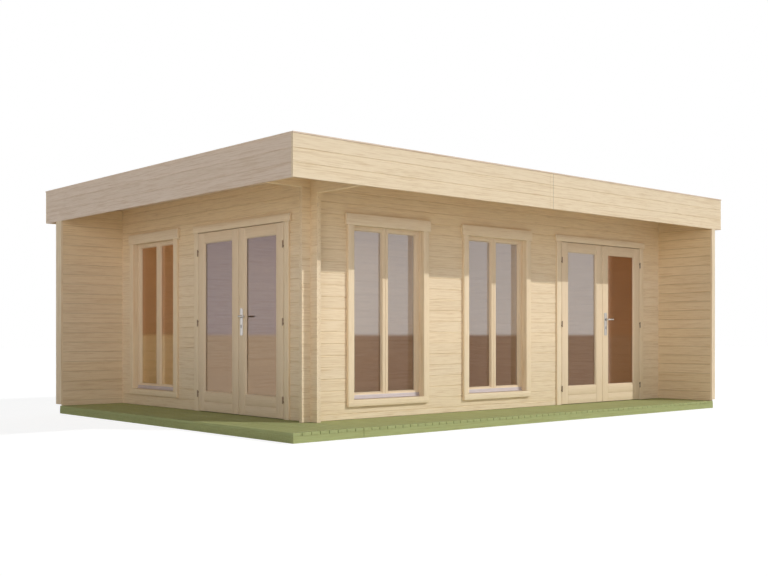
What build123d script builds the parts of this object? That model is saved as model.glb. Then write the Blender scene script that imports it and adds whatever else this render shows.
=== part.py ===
from build123d import *
from math import sqrt
import os

# A wooden garden house of notched logs with a flat roof that reaches out over a front and a
# side terrace. Millimetres, +Z up, X along the front, Y from front to back. The origin is on
# the ground, under the middle of the roof.

# Body of the house, measured over the outer faces of its walls
body_len = 5783.0
body_depth = 3794.0

# Reach of the roof past the walls' outer faces
front_canopy = 782.0
side_canopy = 784.0
right_overhang = 163.0
back_overhang = 373.0

# Logs: crossed at the corners, side walls half a course above front and back walls
log_h = 114.0
log_t = 44.0
log_edge = 5.0
log_end = 100.0
wall_courses = 20

# Openings, counted in courses above the walls' foot so that they end at log joints
sill_course = 1.5
head_course = 17.5

# Foundation and terrace
deck_top = 90.0
board_t = 28.0
board_pitch = 95.0
board_gap = 5.0
deck_inset = 8.0
right_deck_inset = 172.0
back_deck_inset = 370.0
beam_w = 70.0
beam_inset = 9.0
bearer_w = 45.0
bearer_count = 5
side_bearer_count = 8
deck_bearing = 5.0

# Roof
fascia_t = 24.0
fascia_board = 124.0
fascia_boards = 3
fascia_drop = 176.0
fascia_groove = 5.0
fascia_joint = 2.0
edge_trim_w = 42.0
edge_trim_h = 12.0
edge_trim_proud = 6.0
mitre_gap = 1.0
joist_w = 45.0
joist_h = 145.0
joist_count = 12
roof_board_t = 19.0
cover_t = 3.0
wing_board_lift = 16.0
left_wing_board_w = 138.0
right_wing_board_w = 69.0

# Windows
window_w = 942.0
window_head_t = 90.0
window_foot_t = 19.0
window_side_t = 40.0
frame_back = 108.0
sash_setback = 46.0
sash_t = 56.0
sash_rebate = 12.0
sash_stile = 54.0
sash_meeting = 35.0
sash_top_rail = 45.0
sash_bottom_rail = 66.0
sash_play = 3.0
pane_setback = 24.0
pane_t = 4.0
pane_bite = 12.0
drip_h = 38.0
drip_proud = 14.0
drip_t = 3.0
drip_lift = 4.0

# Trim boards round the openings
trim_t = 30.0
trim_side_w = 75.0
trim_top_w = 112.0
trim_bottom_w = 66.0
trim_ear = 25.0
trim_top_proud = 3.0
door_trim_t = 20.0
door_trim_side_w = 81.0
door_trim_top_w = 75.0
flange_w = 35.0
flange_t = 22.0

# Doors
door_w = 1576.0
door_head_t = 60.0
jamb_t = 40.0
leaf_t = 44.0
door_gap = 7.0
leaf_lift = 7.0
stop_w = 15.0
stop_t = 36.0
sill_h = 20.0
stile_w = 115.0
leaf_top_rail = 103.0
leaf_bottom_rail = 203.0
rail_groove = 4.0
leaf_pane_setback = 20.0
leaf_pane_t = 5.0

# Shares of plain wall before, between and after the openings, front wall from its left end
# and side wall from its front end
front_wall_shares = (478.0, 595.0, 559.0, 451.0)
side_wall_shares = (366.0, 435.0, 315.0)

# Hinges
hinge_r = 6.5
hinge_half_h = 36.0
hinge_play = 0.5
hinge_proud = 1.0
hinge_foot_w = 7.0
hinge_foot_t = 2.5
hinge_pin_r = 3.2
hinge_sides = 12
pin_sides = 8
pin_play = 0.1
hinge_low = 190.0
hinge_mid = 956.0
hinge_high = 1715.0

# Lever handle
plate_w = 50.0
plate_h = 280.0
plate_t = 8.0
plate_low = 822.0
backset = 60.0
lever_up = 1018.0
cylinder_up = 924.0
cylinder_r = 8.5
cylinder_proud = 3.0
neck_r = 9.0
neck_sides = 12
lever_play = 0.5
spindle_r = 5.0
spindle_bore_r = 10.0
lever_out = 48.0
lever_len = 105.0

# Places worked out from the sizes
roof_len = side_canopy + body_len + right_overhang
roof_depth = front_canopy + body_depth + back_overhang
roof_left, roof_right = -roof_len / 2, roof_len / 2
roof_front, roof_back = -roof_depth / 2, roof_depth / 2
house_left = roof_left + side_canopy
house_right = roof_right - right_overhang
house_front = roof_front + front_canopy
house_back = roof_back - back_overhang
half_log = log_h / 2
wall_foot = deck_top
wall_top = wall_foot + half_log + wall_courses * log_h
long_top = wall_top - log_h
side_top = wall_top - log_h - half_log
sill_level = wall_foot + sill_course * log_h
head_level = wall_foot + head_course * log_h
side_low = sill_level + half_log
side_high = head_level - half_log
fascia_low = wall_top - fascia_drop
fascia_h = fascia_board * fascia_boards
joist_top = wall_top + joist_h
floor_low = deck_top - board_t
inner_left, inner_right = roof_left + fascia_t, roof_right - fascia_t
inner_front, inner_back = roof_front + fascia_t, roof_back - fascia_t
deck_left, deck_right = roof_left + deck_inset, roof_right - right_deck_inset
deck_front, deck_back = roof_front + deck_inset, roof_back - back_deck_inset
window_low = sill_level + window_foot_t
window_high = head_level - window_head_t
door_high = head_level - door_head_t
leaf_low = wall_foot + leaf_lift
leaf_high = door_high - door_gap
leaf_w = (door_w - 3 * door_gap) / 2
window_rough = window_w + 2 * window_side_t
door_rough = door_w + 2 * jamb_t
front_wall_free = body_len - 2 * window_rough - door_rough
side_wall_free = body_depth - window_rough - door_rough
front_gaps = [front_wall_free * share / sum(front_wall_shares) for share in front_wall_shares]
side_gaps = [side_wall_free * share / sum(side_wall_shares) for share in side_wall_shares]
first_window_x = house_left + front_gaps[0] + window_rough / 2
second_window_x = first_window_x + window_rough + front_gaps[1]
front_door_x = house_right - front_gaps[3] - door_rough / 2
side_door_y = house_front + side_gaps[0] + door_rough / 2
side_window_y = house_back - side_gaps[2] - window_rough / 2


def write(piece, name):
    """Label a finished piece and write its STEP file."""
    piece.label = name
    export_step(piece, f"parts/{name}.step")


def block(low, high):
    """A box between two opposite corners."""
    sides = [b - a for a, b in zip(low, high)]
    with BuildPart(Plane(origin=low)) as solid:
        Box(*sides, align=(Align.MIN, Align.MIN, Align.MIN))
    return solid.part


def log_outline(bottom, top, joint, both_faces):
    """Outline of stacked logs, with a V at each joint on the outer face or on both."""
    joints = []
    level = joint
    while level < top - log_edge:
        if level > bottom + log_edge:
            joints.append(level)
        level += log_h
    outer = [(log_edge, bottom), (0, bottom + log_edge)]
    for level in joints:
        outer += [(0, level - log_edge), (log_edge, level), (0, level + log_edge)]
    outer += [(0, top - log_edge), (log_edge, top)]
    inner = outer if both_faces else [(0, bottom), (0, top)]
    return outer + [(log_t - across, level) for across, level in reversed(inner)]


def log_wall(front, face, start, end, bottom, top, crossings=(), notches=(), both_faces=False):
    """A stack of logs along X (front) or along Y, notched where other logs cross it.

    Crossings are the lower faces of the crossing walls. Notches are boxes for window heads.
    The outer face is grooved at each joint, and the inner one too where it is seen."""
    joint = wall_foot + (half_log if front else 0)
    if front:
        section = Plane(origin=(start, face, 0), x_dir=(0, 1, 0), z_dir=(1, 0, 0))
        side = Plane(origin=(0, face, 0), x_dir=(1, 0, 0), z_dir=(0, -1, 0))
    else:
        section = Plane(origin=(face, start, 0), x_dir=(1, 0, 0), z_dir=(0, -1, 0))
        side = Plane(origin=(face, 0, 0), x_dir=(0, 1, 0), z_dir=(1, 0, 0))
    reach = end - start
    first_band = 1 if front else 0
    outline = log_outline(bottom, top, joint, both_faces)
    if face > 0:
        outline = [(log_t - across, level) for across, level in outline]
    with BuildPart() as wall:
        with BuildSketch(section):
            with BuildLine():
                Polyline(*outline, close=True)
            make_face()
        extrude(amount=reach if front else -reach)
        bands = []
        for band in range(first_band, 2 * wall_courses + 3, 2):
            low = max(bottom, wall_foot + half_log * (band - 0.5))
            high = min(top, wall_foot + half_log * (band + 0.5))
            if high > low:
                bands.append((low, high))
        if crossings:
            with BuildSketch(side):
                for crossing in crossings:
                    for low, high in bands:
                        with Locations((crossing + log_t / 2, (low + high) / 2)):
                            Rectangle(log_t, high - low)
            extrude(amount=-log_t if front else log_t, mode=Mode.SUBTRACT)
        for low, high in notches:
            with BuildSketch(side):
                with Locations(((low[0] + high[0]) / 2, (low[1] + high[1]) / 2)):
                    Rectangle(high[0] - low[0], high[1] - low[1])
            extrude(amount=-log_t if front else log_t, mode=Mode.SUBTRACT)
    return wall.part


def deck_boards(low, high):
    """Boards from front to back, side by side with a gap, joined by a thin web underneath."""
    width, depth, thick = [b - a for a, b in zip(low, high)]
    section = Plane(origin=(low[0], high[1], low[2]), x_dir=(1, 0, 0), z_dir=(0, -1, 0))
    count = int((width - board_gap) // board_pitch)
    with BuildPart() as slab:
        with BuildSketch(section):
            with Locations((width / 2, thick / 2)):
                Rectangle(width, thick)
            with Locations(*[(board_pitch * (i + 1), (thick + board_gap) / 2)
                             for i in range(count)]):
                Rectangle(board_gap, thick - board_gap, mode=Mode.SUBTRACT)
        extrude(amount=depth)
    return slab.part


# Foundation: beams under the walls and bearers under the floor
beam_out = (house_left + beam_inset, house_front + beam_inset)
beam_in = (beam_out[0] + beam_w, beam_out[1] + beam_w)
beam_far_out = (house_right - beam_inset, house_back - beam_inset)
beam_far_in = (beam_far_out[0] - beam_w, beam_far_out[1] - beam_w)
room_mid = ((beam_in[0] + beam_far_in[0]) / 2, (beam_in[1] + beam_far_in[1]) / 2)
room_size = (beam_far_in[0] - beam_in[0], beam_far_in[1] - beam_in[1])
with BuildPart() as foundation:
    with BuildSketch():
        with Locations(room_mid):
            Rectangle(room_size[0] + 2 * beam_w, room_size[1] + 2 * beam_w)
            Rectangle(*room_size, mode=Mode.SUBTRACT)
    extrude(amount=deck_top)
    with BuildSketch():
        with Locations(room_mid):
            with GridLocations(0, room_size[1] / (bearer_count + 1), 1, bearer_count):
                Rectangle(room_size[0], bearer_w)
    extrude(amount=floor_low)
write(foundation.part, "foundation_frame")

with BuildPart() as floor:
    add(block((beam_in[0], beam_in[1], floor_low), (beam_far_in[0], beam_far_in[1], deck_top)))
write(floor.part, "floor")


def deck_frame(low, high, cross_count):
    """Bearers of a terrace: an outer frame and cross bearers, in one piece."""
    width, depth = high[0] - low[0], high[1] - low[1]
    across = width > depth
    pitch = (width if across else depth) / (cross_count + 1)
    with BuildPart() as frame:
        with BuildSketch():
            with Locations((low[0] + width / 2, low[1] + depth / 2)):
                Rectangle(width, depth)
                Rectangle(width - 2 * bearer_w, depth - 2 * bearer_w, mode=Mode.SUBTRACT)
                if across:
                    with GridLocations(pitch, 0, cross_count, 1):
                        Rectangle(bearer_w, depth - bearer_w)
                else:
                    with GridLocations(0, pitch, 1, cross_count):
                        Rectangle(width - bearer_w, bearer_w)
        extrude(amount=floor_low)
    return frame.part


# Terrace: bearers on the ground and boards that run from front to back
front_edge = house_front + deck_bearing
side_edge = house_left + deck_bearing
with BuildPart() as deck_frames:
    add(deck_frame((deck_left, deck_front), (side_edge, deck_back), side_bearer_count))
    add(deck_frame((side_edge + board_gap, deck_front), (deck_right, front_edge),
                   side_bearer_count))
write(deck_frames.part, "deck_frames")

with BuildPart() as decking:
    add(deck_boards((deck_left, deck_front, floor_low), (side_edge, deck_back, deck_top)))
    add(deck_boards((side_edge + board_gap, deck_front, floor_low),
                    (deck_right, front_edge, deck_top)))
write(decking.part, "decking")

# Spans of the openings along each wall
first_window = (first_window_x - window_w / 2 - window_side_t,
                first_window_x + window_w / 2 + window_side_t)
second_window = (second_window_x - window_w / 2 - window_side_t,
                 second_window_x + window_w / 2 + window_side_t)
front_door = (front_door_x - door_w / 2 - jamb_t, front_door_x + door_w / 2 + jamb_t)
side_window = (side_window_y - window_w / 2 - window_side_t,
               side_window_y + window_w / 2 + window_side_t)
side_door = (side_door_y - door_w / 2 - jamb_t, side_door_y + door_w / 2 + jamb_t)
log_left, log_right = house_left - log_end, house_right + log_end
log_front, log_back = house_front - log_end, house_back + log_end
side_crossings = (house_front, house_back - log_t)
front_crossings = (house_left, house_right - log_t)

# Front wall, in the order that its logs go up
with BuildPart() as front_lower:
    add(log_wall(True, house_front, log_left, front_door[0], wall_foot, sill_level,
                 front_crossings[:1]))
write(front_lower.part, "front_wall_lower")

with BuildPart() as front_piers:
    add(log_wall(True, house_front, log_left, first_window[0], sill_level, head_level,
                 front_crossings[:1]))
    add(log_wall(True, house_front, first_window[1], second_window[0], sill_level, head_level))
    add(log_wall(True, house_front, second_window[1], front_door[0], sill_level, head_level))
    add(log_wall(True, house_front, front_door[1], log_right, wall_foot, head_level,
                 front_crossings[1:]))
write(front_piers.part, "front_wall_piers")

with BuildPart() as front_upper:
    add(log_wall(True, house_front, log_left, log_right, head_level, long_top,
                 front_crossings))
write(front_upper.part, "front_wall_upper")

# Left wall, with its door and window
with BuildPart() as left_lower:
    add(log_wall(False, house_left, log_front, side_door[0], wall_foot, side_low,
                 side_crossings[:1]))
    add(log_wall(False, house_left, side_door[1], log_back, wall_foot, side_low,
                 side_crossings[1:], [((side_window[0], sill_level), (side_window[1], side_low))]))
write(left_lower.part, "left_wall_lower")

with BuildPart() as left_piers:
    add(log_wall(False, house_left, log_front, side_door[0], side_low, side_high,
                 side_crossings[:1]))
    add(log_wall(False, house_left, side_door[1], side_window[0], side_low, side_high))
    add(log_wall(False, house_left, side_window[1], log_back, side_low, side_high,
                 side_crossings[1:]))
write(left_piers.part, "left_wall_piers")

with BuildPart() as left_upper:
    add(log_wall(False, house_left, log_front, log_back, side_high, side_top, side_crossings,
                 [((side_window[0], side_high), (side_window[1], head_level)),
                  ((side_door[0], side_high), (side_door[1], head_level))]))
write(left_upper.part, "left_wall_upper")

# Back and right walls, which run on as wings to the terrace's outer edges
with BuildPart() as back_wall:
    add(log_wall(True, house_back - log_t, inner_left, house_left + log_t, wall_foot, long_top,
                 front_crossings[:1], both_faces=True))
    add(log_wall(True, house_back - log_t, house_left + log_t, log_right, wall_foot, long_top,
                 front_crossings[1:]))
write(back_wall.part, "back_wall")

with BuildPart() as right_wall:
    add(log_wall(False, house_right - log_t, inner_front, house_front + log_t, wall_foot,
                 side_top, side_crossings[:1], both_faces=True))
    add(log_wall(False, house_right - log_t, house_front + log_t, log_back, wall_foot, side_top,
                 side_crossings[1:]))
write(right_wall.part, "right_wall")

# The top logs reach out under the roof, from fascia to fascia
with BuildPart() as long_logs:
    for face in (house_front, house_back - log_t):
        add(log_wall(True, face, inner_left, inner_right, long_top, wall_top, front_crossings,
                     both_faces=True))
write(long_logs.part, "front_and_back_top_logs")

with BuildPart() as side_logs:
    for face in (house_left, house_right - log_t):
        add(log_wall(False, face, inner_front, inner_back, side_top, wall_top, side_crossings,
                     both_faces=True))
write(side_logs.part, "side_top_logs")

# Upright boards that close the ends of the wings
with BuildPart() as wing_boards:
    add(block((roof_left, house_back - log_t, deck_top + wing_board_lift),
              (inner_left, house_back - log_t + left_wing_board_w, fascia_low)))
    add(block((house_right - log_t, roof_front, deck_top + wing_board_lift),
              (house_right - log_t + right_wing_board_w, inner_front, fascia_low)))
write(wing_boards.part, "wing_end_boards")

# Roof: joists from front to back, boards and a sheet on top. The outermost joists lie on the
# side fascias, and the next ones are flush with the outer faces of the side walls.
joist_pitch = (house_right - house_left - joist_w) / (joist_count - 3)
with BuildPart() as joists:
    with Locations(((house_left + house_right) / 2, (inner_front + inner_back) / 2, wall_top)):
        with GridLocations(joist_pitch, 0, joist_count - 2, 1):
            Box(joist_w, inner_back - inner_front, joist_h,
                align=(Align.CENTER, Align.CENTER, Align.MIN))
    for edge in (inner_left, inner_right - joist_w):
        add(block((edge, inner_front, wall_top), (edge + joist_w, inner_back, joist_top)))
write(joists.part, "roof_joists")

with BuildPart() as roof_boards:
    add(block((inner_left, inner_front, joist_top),
              (inner_right, inner_back, joist_top + roof_board_t)))
write(roof_boards.part, "roof_boards")

with BuildPart() as covering:
    add(block((inner_left, inner_front, joist_top + roof_board_t),
              (inner_right, inner_back, joist_top + roof_board_t + cover_t)))
write(covering.part, "roof_covering")


def fascia_outline():
    """Section of a fascia: boards one above another, with a V between them outside."""
    outer = [(0, 0)]
    for joint in range(1, fascia_boards):
        level = joint * fascia_board
        outer += [(0, level - fascia_groove), (fascia_groove, level), (0, level + fascia_groove)]
    return outer + [(0, fascia_h), (fascia_t, fascia_h), (fascia_t, 0)]


def fascia(section, reach):
    """A fascia carried along from its section's plane."""
    with BuildPart() as strip:
        with BuildSketch(section):
            with BuildLine():
                Polyline(*fascia_outline(), close=True)
            make_face()
        extrude(amount=reach)
    return strip.part


half_run = (roof_len - fascia_joint) / 2
with BuildPart() as front_fascia:
    for start in (roof_left, roof_right - half_run):
        add(fascia(Plane(origin=(start, roof_front, fascia_low), x_dir=(0, 1, 0),
                         z_dir=(1, 0, 0)), half_run))
write(front_fascia.part, "front_fascia")

with BuildPart() as back_fascia:
    for start in (roof_left + half_run, roof_right):
        add(fascia(Plane(origin=(start, roof_back, fascia_low), x_dir=(0, -1, 0),
                         z_dir=(-1, 0, 0)), half_run))
write(back_fascia.part, "back_fascia")

side_run = inner_back - inner_front
with BuildPart() as side_fascias:
    add(fascia(Plane(origin=(roof_left, inner_back, fascia_low), x_dir=(1, 0, 0),
                     z_dir=(0, -1, 0)), side_run))
    add(fascia(Plane(origin=(roof_right, inner_front, fascia_low), x_dir=(-1, 0, 0),
                     z_dir=(0, 1, 0)), side_run))
write(side_fascias.part, "side_fascias")

# Edge trim: four strips that lie on the fascias and meet in mitres
trim_out = (roof_len / 2 + edge_trim_proud, roof_depth / 2 + edge_trim_proud)
with BuildPart() as edge_trim:
    with BuildSketch(Plane.XY.offset(fascia_low + fascia_h)):
        Rectangle(2 * trim_out[0], 2 * trim_out[1])
        Rectangle(2 * (trim_out[0] - edge_trim_w), 2 * (trim_out[1] - edge_trim_w),
                  mode=Mode.SUBTRACT)
        for side_x in (-1, 1):
            for side_y in (-1, 1):
                with Locations((side_x * (trim_out[0] - edge_trim_w / 2),
                                side_y * (trim_out[1] - edge_trim_w / 2))):
                    Rectangle(3 * edge_trim_w, mitre_gap, rotation=side_x * side_y * 45,
                              mode=Mode.SUBTRACT)
    extrude(amount=edge_trim_h)
write(edge_trim.part, "roof_edge_trim")


class Opening:
    """The place of a window or door: its wall's outer face, and how a local box is laid there.

    Local a runs along the wall, b runs into the house from the outer face, c is up."""

    def __init__(self, front, middle):
        self.front = front
        self.middle = middle

    def plane(self):
        """Plane on the opening's foot line: X along the wall, Y into the house, Z up."""
        if self.front:
            return Plane(origin=(self.middle, house_front, 0), x_dir=(1, 0, 0), z_dir=(0, 0, 1))
        return Plane(origin=(house_left, self.middle, 0), x_dir=(0, -1, 0), z_dir=(0, 0, 1))

    def place(self, part):
        """Move a part from local places to the wall."""
        return self.plane().location * part


windows = (Opening(True, first_window_x), Opening(True, second_window_x),
           Opening(False, side_window_y))
front_doorway = Opening(True, front_door_x)
side_doorway = Opening(False, side_door_y)


def window_frame():
    """Deep box frame of a window: a lip that the sashes lie against from inside, the rebate
    that they lie in, and a flange that grips the logs from inside."""
    half = window_w / 2
    out = half + window_side_t
    wide = half + sash_rebate
    with BuildPart() as frame:
        add(block((-out, 0, sill_level), (out, frame_back, head_level)))
        add(block((-out - flange_w, log_t, sill_level - flange_w),
                  (out + flange_w, log_t + flange_t, head_level + flange_w)))
        add(block((-half, 0, window_low), (half, sash_setback, window_high)),
            mode=Mode.SUBTRACT)
        add(block((-wide, sash_setback, window_low - sash_rebate),
                  (wide, frame_back, window_high + sash_rebate)), mode=Mode.SUBTRACT)
    return frame.part


sash_half = window_w / 2 + sash_rebate - sash_play
sash_w = sash_half - sash_play / 2
sash_h = window_high - window_low + 2 * (sash_rebate - sash_play)
sash_low = window_low - sash_rebate + sash_play


def sash_pane(left):
    """Pane of one sash, as its low and high corners."""
    outer = -sash_half + sash_stile if left else sash_play / 2 + sash_meeting
    width = sash_w - sash_stile - sash_meeting
    low = (outer - pane_bite, sash_setback + pane_setback, sash_low + sash_bottom_rail - pane_bite)
    high = (outer + width + pane_bite, sash_setback + pane_setback + pane_t,
            sash_low + sash_h - sash_top_rail + pane_bite)
    return low, high


def sash(left):
    """One window sash, with the slot that holds its pane."""
    start = -sash_half if left else sash_play / 2
    low, high = sash_pane(left)
    with BuildPart() as frame:
        add(block((start, sash_setback, sash_low),
                  (start + sash_w, sash_setback + sash_t, sash_low + sash_h)))
        add(block((low[0] + pane_bite, sash_setback, low[2] + pane_bite),
                  (high[0] - pane_bite, sash_setback + sash_t, high[2] - pane_bite)),
            mode=Mode.SUBTRACT)
        add(block(low, high), mode=Mode.SUBTRACT)
    return frame.part


def drip_bar():
    """Bent metal strip along the foot of the sashes, which sheds rain."""
    half = window_w / 2 - sash_play
    low = window_low + drip_lift
    face = sash_setback
    outline = [(face, low + drip_h), (face - drip_t, low + drip_h),
               (face - drip_t, low + drip_h / 3), (face - drip_proud, low + drip_t),
               (face - drip_proud, low), (face, low)]
    with BuildPart() as bar:
        with BuildSketch(Plane(origin=(-half, 0, 0), x_dir=(0, 1, 0), z_dir=(1, 0, 0))):
            with BuildLine():
                Polyline(*outline, close=True)
            make_face()
        extrude(amount=2 * half)
    return bar.part


def window_trim():
    """Boards on the wall's face round a window, the top one longer and a little thicker."""
    half = window_w / 2
    out = half + trim_side_w
    with BuildPart() as trim:
        add(block((-out, -trim_t, window_low - trim_bottom_w), (out, 0, window_high)))
        add(block((-half, -trim_t, window_low), (half, 0, window_high)), mode=Mode.SUBTRACT)
        add(block((-out - trim_ear, -trim_t - trim_top_proud, window_high),
                  (out + trim_ear, 0, window_high + trim_top_w)))
    return trim.part


with BuildPart() as window_frames:
    for window in windows:
        add(window.place(window_frame()))
write(window_frames.part, "window_frames")

with BuildPart() as sashes:
    for window in windows:
        for left in (True, False):
            add(window.place(sash(left)))
write(sashes.part, "window_sashes")

with BuildPart() as window_glass:
    for window in windows:
        for left in (True, False):
            add(window.place(block(*sash_pane(left))))
write(window_glass.part, "window_glass")

with BuildPart() as window_trims:
    for window in windows:
        add(window.place(window_trim()))
write(window_trims.part, "window_trims")

with BuildPart() as drip_bars:
    for window in windows:
        add(window.place(drip_bar()))
write(drip_bars.part, "window_drip_bars")

# Doors: a leaf lies flush with the trim's face and shuts against a stop in the frame
leaf_face = -door_trim_t
leaf_back = leaf_face + leaf_t
stop_face = leaf_back + door_gap
frame_depth = stop_face + stop_t
half_door = door_w / 2


def door_jamb(side):
    """Upright of a door frame, with its stop and the flange inside the wall."""
    edge = side * half_door
    with BuildPart() as jamb:
        with BuildSketch(Plane.XY.offset(wall_foot)):
            with BuildLine():
                Polyline((edge, 0), (edge + side * jamb_t, 0), (edge + side * jamb_t, log_t),
                         (edge + side * (jamb_t + flange_w), log_t),
                         (edge + side * (jamb_t + flange_w), frame_depth),
                         (edge - side * stop_w, frame_depth), (edge - side * stop_w, stop_face),
                         (edge, stop_face), close=True)
            make_face()
        extrude(amount=head_level - wall_foot)
    return jamb.part


def door_head():
    """Top of a door frame between the uprights, with its stop."""
    inner = half_door - stop_w
    with BuildPart() as head:
        add(block((-half_door, 0, door_high), (half_door, stop_face, head_level)))
        add(block((-inner, stop_face, door_high - stop_w), (inner, frame_depth, head_level)))
    return head.part


def door_sill():
    """Low strip behind the leaves, which they shut against."""
    inner = half_door - stop_w
    return block((-inner, stop_face, wall_foot), (inner, frame_depth, wall_foot + sill_h))


def door_trim():
    """Boards on the wall's face beside and over a door."""
    out = half_door + door_trim_side_w
    with BuildPart() as trim:
        for side in (-1, 1):
            low = min(side * half_door, side * out)
            high = max(side * half_door, side * out)
            add(block((low, -door_trim_t, wall_foot), (high, 0, door_high)))
        add(block((-out - trim_ear, -door_trim_t - trim_top_proud, door_high),
                  (out + trim_ear, 0, door_high + door_trim_top_w)))
    return trim.part


def leaf_pane():
    """Pane of a leaf, with the leaf's hinge edge at 0, as its low and high corners."""
    low = (stile_w - pane_bite, leaf_face + leaf_pane_setback,
           leaf_low + leaf_bottom_rail - pane_bite)
    high = (leaf_w - stile_w + pane_bite, leaf_face + leaf_pane_setback + leaf_pane_t,
            leaf_high - leaf_top_rail + pane_bite)
    return low, high


def door_leaf(active):
    """A leaf of stiles and rails, with its hinge edge at 0, a slot for the pane, and the
    bores for lever and lock where it is the active one."""
    low, high = leaf_pane()
    mid_rail = (leaf_low + low[2] + pane_bite) / 2
    with BuildPart() as leaf:
        add(block((0, leaf_face, leaf_low), (leaf_w, leaf_back, leaf_high)))
        add(block((low[0] + pane_bite, leaf_face, low[2] + pane_bite),
                  (high[0] - pane_bite, leaf_back, high[2] - pane_bite)), mode=Mode.SUBTRACT)
        add(block(low, high), mode=Mode.SUBTRACT)
        add(block((stile_w, leaf_face, mid_rail - rail_groove / 2),
                  (leaf_w - stile_w, leaf_face + rail_groove, mid_rail + rail_groove / 2)),
            mode=Mode.SUBTRACT)
        if active:
            with BuildSketch(Plane(origin=(0, leaf_back, 0), x_dir=(1, 0, 0),
                                   z_dir=(0, -1, 0))):
                with Locations((leaf_w - backset, wall_foot + lever_up)):
                    Circle(spindle_bore_r)
            extrude(amount=leaf_t, mode=Mode.SUBTRACT)
    return leaf.part


def hinge_levels():
    """Heights of a leaf's three hinges, at the gap between their halves."""
    return [wall_foot + level for level in (hinge_low, hinge_mid, hinge_high)]


hinge_axis_b = leaf_face - hinge_r - hinge_proud


def hinge_half(level, upper):
    """Half a hinge round the axis at 0: a barrel, its foot, and the pin on the lower half.

    Only the middle hinge's pin is fully round: the others repeat it with fewer faces."""
    side = 1 if upper else -1
    start = level + side * hinge_play / 2
    axis = (0, hinge_axis_b)
    with BuildPart() as half:
        with BuildSketch(Plane.XY.offset(start)):
            with Locations(axis):
                RegularPolygon(hinge_r, hinge_sides)
            foot_mid = (side * (hinge_foot_w + hinge_r) / 2, leaf_face - hinge_foot_t / 2)
            with Locations(foot_mid):
                Rectangle(hinge_foot_w + hinge_r, hinge_foot_t)
        extrude(amount=side * hinge_half_h)
        if upper:
            with BuildSketch(Plane.XY.offset(start)):
                with Locations(axis):
                    RegularPolygon(hinge_pin_r + pin_play, pin_sides, major_radius=False)
            extrude(amount=hinge_half_h / 2, mode=Mode.SUBTRACT)
        else:
            with BuildSketch(Plane.XY.offset(start)):
                with Locations(axis):
                    if level == hinge_levels()[1]:
                        Circle(hinge_pin_r)
                    else:
                        RegularPolygon(hinge_pin_r, pin_sides)
            extrude(amount=hinge_half_h / 2)
    return half.part


def lock_plate(outside):
    """Long plate with the lock cylinder's end, on one face of the active leaf."""
    face = leaf_face - plate_t if outside else leaf_back
    tip = face - cylinder_proud if outside else face + plate_t
    with BuildPart() as plate:
        with BuildSketch(Plane(origin=(leaf_w - backset, face + plate_t,
                                       wall_foot + plate_low + plate_h / 2),
                               x_dir=(1, 0, 0), z_dir=(0, -1, 0))) as outline:
            Rectangle(plate_w, plate_h)
            chamfer(outline.vertices(), length=plate_w / 5)
            with Locations((0, lever_up - plate_low - plate_h / 2)):
                RegularPolygon(neck_r + lever_play, neck_sides, major_radius=False,
                               mode=Mode.SUBTRACT)
        extrude(amount=plate_t)
        with BuildSketch(Plane(origin=(leaf_w - backset, tip + cylinder_proud,
                                       wall_foot + cylinder_up),
                               x_dir=(1, 0, 0), z_dir=(0, -1, 0))) as cylinder:
            Rectangle(2 * cylinder_r, 3.6 * cylinder_r)
            chamfer(cylinder.vertices(), length=0.6 * cylinder_r)
        extrude(amount=cylinder_proud)
    return plate.part


def lever_grip(outside):
    """Neck that stands out of the plate and turns into a grip towards the hinges."""
    root = leaf_face if outside else leaf_back
    reach = plate_t + lever_out
    tip = root - reach if outside else root + reach
    centre, level = leaf_w - backset, wall_foot + lever_up
    with BuildPart() as grip:
        with BuildLine() as path:
            Polyline((centre, root, level), (centre, tip, level),
                     (centre - lever_len, tip, level))
        with BuildSketch(Plane(origin=path.line @ 0, z_dir=path.line % 0)):
            RegularPolygon(neck_r, neck_sides)
        sweep(path=path.line, transition=Transition.RIGHT)
    return grip.part


def lever():
    """Outer and inner grips on one square spindle through the leaf."""
    with BuildPart() as both:
        add(lever_grip(True))
        add(lever_grip(False))
        with BuildSketch(Plane(origin=(leaf_w - backset, leaf_back, wall_foot + lever_up),
                               x_dir=(1, 0, 0), z_dir=(0, -1, 0))):
            Rectangle(spindle_r * sqrt(2), spindle_r * sqrt(2))
        extrude(amount=leaf_t)
    return both.part


for name, doorway in (("front_door", front_doorway), ("side_door", side_doorway)):
    with BuildPart() as jambs:
        for side in (-1, 1):
            add(doorway.place(door_jamb(side)))
    write(jambs.part, f"{name}_jambs")
    with BuildPart() as head_and_sill:
        add(doorway.place(door_head()))
        add(doorway.place(door_sill()))
    write(head_and_sill.part, f"{name}_head_and_sill")

with BuildPart() as door_trims:
    add(front_doorway.place(door_trim()))
    add(side_doorway.place(door_trim()))
write(door_trims.part, "door_trims")


def hang(doorway, part, right, offset):
    """Put a leaf's part into its doorway: the right leaf is the left one mirrored."""
    shifted = Location((-half_door + offset, 0, 0)) * part
    if right:
        shifted = shifted.mirror(Plane.YZ)
    return doorway.place(shifted)


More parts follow.
